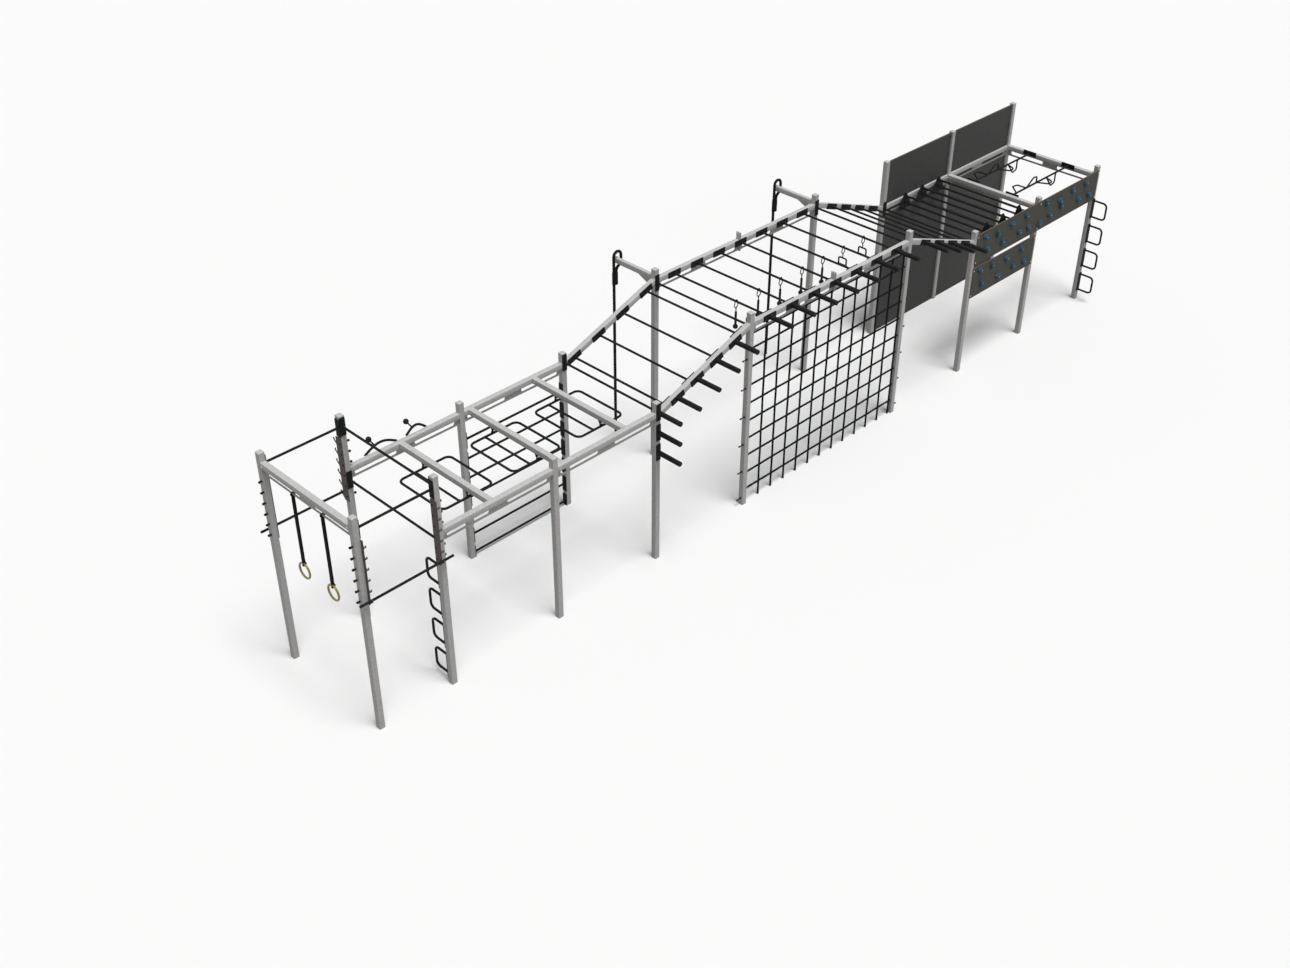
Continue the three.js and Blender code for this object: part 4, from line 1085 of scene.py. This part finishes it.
def strap():
    """One closed band: over the strip of the beam, down, and round the ring's top."""
    foot = RING - RING_DROP
    heights = [-0.085, -0.3, -0.6, -0.9, foot + 0.045]
    over = arc(0, 0, STRIP_REACH, -68, 248, 24)
    route = [(x, z * STRIP_RISE / STRIP_REACH if z > 0 else z) for x, z in over]
    route += [(-STRAP_APART, z) for z in heights]
    route += arc(0, foot, RING_TUBE + 0.0016, 115, 425, 16)
    route += [(STRAP_APART, z) for z in reversed(heights)]
    outline = rounded(STRAP_WIDTH, STRAP_THICK, STRAP_THICK / 2.2, 2)
    rings = []
    for centre, u, v in sections(upright(route), closed=True):
        across, through = (u, v) if abs(u.y) > abs(v.y) else (v, u)
        rings.append([centre + across * p + through * q for p, q in outline])
    return loft(rings, "webbing", closed=True)


def buckle():
    z = RING - RING_DROP + 0.075
    lever = block(-0.0105, -0.007, -0.022, 0.022, z - 0.022, z + 0.01)
    pin = rod(vec(0.009, -0.029, z + 0.011), vec(0.009, 0.029, z + 0.011), 0.003, "zinc", 12)
    return block(-0.008, 0.008, -0.028, 0.028, z - 0.018, z + 0.018).add(lever, pin)


def gym_ring():
    path = ring_path(vec(0, 0, -RING_DROP), ACROSS, UP, RING, 72)
    return tube(path, RING_TUBE, "ring_wood", closed=True).add(strap(), buckle())


for name, side in (("front", -1), ("back", 1)):
    y = ROW_PITCH / 2 + 0.015 + side * 0.29
    piece(f"gym_ring_{name}", gym_ring().move(0, y, STRIP_MIDDLE), [f"ring_{name}"],
          f"ring_{name}", edge=0.0008, sharp=60)

# Hanging grips
LINK_WIRE = 0.007
LINK_LENGTH = 0.07
LINK_REACH = 0.0236
LINK_WIDE = 0.036
LINK_FOOT = -LINK_LENGTH - LINK_REACH
GRIP_Y = 0.57
GRIP_STEM = 0.008
BALL_Z = -0.392
SLEEVE_TOP = BALL_Z + 0.232
STIRRUP_LOW = -0.28
STIRRUP_TOP = STIRRUP_LOW + 0.11


def hanger(low):
    """A pear-shaped link, narrow over the rung and wide at its foot, with a stem down to low."""
    route = arc(0, 0, LINK_REACH, 0, 180, 12) + arc(0, LINK_FOOT + LINK_WIDE, LINK_WIDE, 180, 360, 12)
    form = tube(upright(route), LINK_WIRE, sides=12, closed=True)
    return form.add(rod(vec(0, 0, low), vec(0, 0, LINK_FOOT), GRIP_STEM, sides=16))


def ribbed(start, end, radius, ribs):
    profile = [(0, radius * 0.8)]
    for k in range(ribs):
        profile += [((k + share) / ribs, radius * size)
                    for share, size in ((0.1, 0.93), (0.35, 1.0), (0.65, 1.0), (0.9, 0.93))]
    return turned(start, end, profile + [(1, radius * 0.8)], "rubber", 24)


def ball_grip():
    form = hanger(SLEEVE_TOP - 0.002).add(ball(vec(0, 0, LINK_FOOT - 0.006), 0.012, sides=16, rows=10))
    return form.add(ribbed(vec(0, 0, BALL_Z + 0.03), vec(0, 0, SLEEVE_TOP), 0.0175, 11),
                    ball(vec(0, 0, BALL_Z), 0.037, "rubber", 28, 16))


def stirrup():
    half = 0.07
    low = STIRRUP_LOW
    form = hanger(STIRRUP_TOP)
    corners = [vec(0, -half, low), vec(0, -half, STIRRUP_TOP), vec(0, half, STIRRUP_TOP), vec(0, half, low)]
    form.add(tube(bend_path(corners, 0.024), 0.012, sides=16))
    form.add(ribbed(vec(0, -half + 0.011, low), vec(0, half - 0.011, low), 0.015, 8))
    return form.add(*[rod(vec(0, side * (half - 0.012), low), vec(0, side * (half + 0.01), low), 0.0145)
                      for side in (-1, 1)])


for k, x in enumerate(HIGH_RUNGS, 1):
    form = ball_grip() if k < 6 else stirrup()
    piece(f"grip_{k}_handle", form.move(COLUMNS[4] + x, GRIP_Y, HIGH_TOP - HALF), [f"grip_{k}"],
          f"grip_{k}", edge=0.0008)

# Cargo net: laid ropes woven over and under
NET_ROPE = 0.031
NET_STEP = 0.0125
NET_COLUMNS = 12
NET_ROWS = 9
NET_SIDE = 0.299
NET_END = 0.035
NET_FOOT = 0.012
NET_FIRST = 0.233
NET_HEAD = HIGH_TOP - RAIL_DEPTH - SEAT - 0.01
NET_WIDTH = HIGH_PITCH - 2 * HALF - 2 * SEAT
NET_X = (NET_WIDTH - NET_SIDE - NET_END) / (NET_COLUMNS - 1)
NET_Z = (NET_HEAD - 0.236 - NET_FIRST) / (NET_ROWS - 1)
WEAVE = 0.0015


def net_places(low, high):
    count = int((high - low) / NET_STEP)
    return [low + (high - low) * s / count for s in range(count + 1)]


def woven(share, last, sign):
    return sign * WEAVE * math.cos(math.pi * min(max(share, 0), last))


def whipping(low, high):
    return rod(low, high, NET_ROPE / 2 + 0.0015, "rubber", 14)


def cargo_net():
    form = Form()
    for k in range(NET_COLUMNS):
        x = NET_SIDE + k * NET_X
        sign = 1 if k % 2 else -1
        path = [vec(x, woven((z - NET_FIRST) / NET_Z, NET_ROWS - 1, sign), z)
                for z in net_places(NET_FOOT, NET_HEAD)]
        eye = ring_path(vec(x, 0, NET_HEAD), ACROSS, UP, 0.019, 20)
        form.add(laid_rope(path, NET_ROPE, "net_fibre", 3), whipping(path[0], path[0] + UP * 0.032),
                 tube(eye, 0.006, "net_fibre", 8, True))
    for k in range(NET_ROWS):
        z = NET_FIRST + k * NET_Z
        sign = -1 if k % 2 else 1
        path = [vec(x, woven((x - NET_SIDE) / NET_X, NET_COLUMNS - 1, sign), z)
                for x in net_places(0, NET_WIDTH)]
        form.add(laid_rope(path, NET_ROPE, "net_fibre", 3))
        form.add(*[whipping(end, end + ALONG * out) for end, out in ((path[0], 0.045), (path[-1], -0.045))])
    head = [vec(x, 0, NET_HEAD) for x in net_places(0, NET_WIDTH)]
    return form.add(laid_rope(head, NET_ROPE, "net_fibre", 3))


piece("net_ropes", cargo_net().move(COLUMNS[4] + START), ["cargo_net"], edge=0)

# Climbing boards, holds and wall panels
BOARD_THICK = 0.015
BOARD_HEIGHT = 0.53
BOARD_TOP = SHORT - 0.07
BOARD_GAP = 0.06
BOARD_INSET = 0.02
BOARD_BOLT = 0.045
HOLD = 0.058
HOLD_DEPTH = 0.045
HOLD_SIDES = 18
HOLD_PROFILE = [(0, 1), (0.12, 1.02), (0.35, 0.96), (0.6, 0.85), (0.8, 0.7), (0.93, 0.5), (0.98, 0.3)]


def panel_form(length, front, back, low, high, face, edge):
    """A panel whose two faces and cut edges have their own finish."""
    form = plate([(0, low), (length, low), (length, high), (0, high)], front, back, edge)
    form.faces[-2:] = [(corners, face) for corners, _ in form.faces[-2:]]
    return form


def hold(x, z, front, number):
    """A lumpy resin hold, no two alike, with its bolt in the middle."""
    spin = 2.4 * number
    lean = 0.006 * math.sin(spin)
    rings = []
    for rise, size in HOLD_PROFILE:
        centre = vec(x + lean * rise, front + 0.0005 - HOLD_DEPTH * rise * 0.96, z - lean * rise)
        ring = []
        for k in range(HOLD_SIDES):
            a = math.tau * k / HOLD_SIDES
            reach = HOLD * size * (1 + 0.14 * math.sin(2 * a + spin) + 0.09 * math.sin(3 * a + 1.7 * spin))
            ring.append(centre + vec(reach * math.cos(a), 0, reach * math.sin(a)))
        rings.append(ring)
    at = vec(x + lean, front - HOLD_DEPTH * 0.93, z - lean)
    return loft(rings, "hold_resin").add(
        turned(at, at - ACROSS * 0.0015, [(0, 0.0085), (1, 0.008)], "zinc", 18),
        turned(at - ACROSS * 0.0014, at - ACROSS * 0.0017, [(0, 0.0042), (1, 0.004)], sides=6))


def board(name, length, holds, z, posts):
    back = -HALF - SEAT
    front = back - BOARD_THICK
    form = panel_form(length, front, back, -BOARD_HEIGHT, 0, "board_face", "board_edge")
    form.add(*[hold(x, -drop, front, number) for number, (x, drop) in enumerate(holds, 1)])
    for x in posts:
        form.add(*[bolt(vec(x, front, -drop), -ACROSS) for drop in (BOARD_BOLT, BOARD_HEIGHT - BOARD_BOLT)])
    piece(f"{name}_panel", form.move(COLUMNS[6] + BOARD_INSET, 0, z), [name])


# Each hold's place along its board and its drop below the top
UPPER_HOLDS = [(0.22, 0.096), (0.57, 0.158), (0.95, 0.116), (1.38, 0.119), (1.96, 0.081), (2.38, 0.174),
               (2.76, 0.12), (3.16, 0.102), (0.3, 0.334), (0.73, 0.357), (1.21, 0.346), (1.48, 0.365),
               (1.82, 0.403), (2.1, 0.339), (2.45, 0.295), (2.99, 0.339), (3.32, 0.368)]
LOWER_HOLDS = [(0.19, 0.078), (0.53, 0.113), (0.94, 0.131), (1.37, 0.121), (0.28, 0.343), (0.74, 0.386),
               (1.17, 0.358), (1.5, 0.385)]
board("board_upper", 2 * BAY_PITCH - 2 * BOARD_INSET, UPPER_HOLDS, BOARD_TOP,
      [0.015, BAY_PITCH - 0.02, 3.545])
board("board_lower", BAY_PITCH - 2 * BOARD_INSET, LOWER_HOLDS, BOARD_TOP - BOARD_HEIGHT - BOARD_GAP,
      [0.015, 1.745])

WALL_HALF = 0.01
WALL_LAP = 0.0095


def wall(low, high):
    """A dark panel bolted at its sides; the one that stands on the ground laps the rail's web."""
    form = panel_form(BAY, -WALL_HALF, WALL_HALF, low, high, "wall_face", "wall_edge")
    for x in (0.03, BAY - 0.03):
        for z in [low + share * (high - low) for share in (0.08, 0.5, 0.92)]:
            form.add(*[bolt(vec(x, side * WALL_HALF, z), ACROSS * side, BLACK) for side in (-1, 1)])
    if not low:
        form.add(block(0, BAY, WEB_THICK / 2 + SEAT, WALL_LAP, high - LAP, LOW_TOP - 2 * HALF - SEAT,
                       "wall_face"))
    return form


for i, column in enumerate(COLUMNS[6:8], 1):
    for name, low, high in (("wall_upper", LOW_TOP + SEAT, TALL - 0.025),
                            ("wall_lower", 0.0, LOW_TOP - RAIL_DEPTH - SEAT)):
        piece(f"{name}_{i}_panel", wall(low, high).move(column + START, ROW_PITCH), [f"{name}_{i}"])

# Pale floor and soft studio light
FLOOR_REACH = 90
FLOOR_LIT = (0.25, 0.235, 0.23)
FLOOR_SEEN = (0.895, 0.87, 0.865)
SKY_COLOUR = (0.97, 0.99, 1.0, 1)
SKY_LIGHT = 0.22
SKY_SEEN = 0.9
LAMP_COLOUR = (0.97, 1.0, 1.0)


def background_rays(tree):
    """One for rays that see the background, straight or in gloss and glass, and nought for the rest."""
    rays = tree.nodes.new("ShaderNodeLightPath").outputs
    seen = rays["Is Camera Ray"]
    for kind in ("Is Glossy Ray", "Is Transmission Ray"):
        seen = node(tree, "ShaderNodeMath", {0: seen, 1: rays[kind]}, operation="MAXIMUM")
    return seen


def floor():
    """Pale where it is seen, and darker where it only throws light back."""
    look = Look("floor", 0.9)
    look.colour(look.blend(FLOOR_LIT, FLOOR_SEEN, background_rays(look.tree)))
    mesh = bpy.data.meshes.new("floor")
    reach = FLOOR_REACH
    mesh.from_pydata([(-reach, -reach, 0), (reach, -reach, 0), (reach, reach, 0), (-reach, reach, 0)], [],
                     [(0, 1, 2, 3)])
    mesh.materials.append(FINISHES["floor"])
    placed("floor", mesh)


def sky():
    """A plain pale backdrop that lights the object only softly."""
    world = bpy.data.worlds.new("studio")
    world.use_nodes = True
    tree = world.node_tree
    inputs = {0: background_rays(tree), 1: SKY_SEEN - SKY_LIGHT, 2: SKY_LIGHT}
    level = node(tree, "ShaderNodeMath", inputs, operation="MULTIPLY_ADD")
    wire(tree, tree.nodes["Background"], {"Color": SKY_COLOUR, "Strength": level})
    bpy.context.scene.world = world


def lamp(name, strength, tilt, turn, spread):
    data = bpy.data.lights.new(name, "SUN")
    data.energy = strength
    data.color = LAMP_COLOUR
    data.angle = math.radians(spread)
    placed(name, data).rotation_euler = (math.radians(tilt), 0, math.radians(turn))


floor()
sky()
lamp("key", 2.75, 16, -6, 25)
lamp("fill", 0.2, 50, -20, 60)
bpy.context.scene.view_settings.view_transform = "Standard"
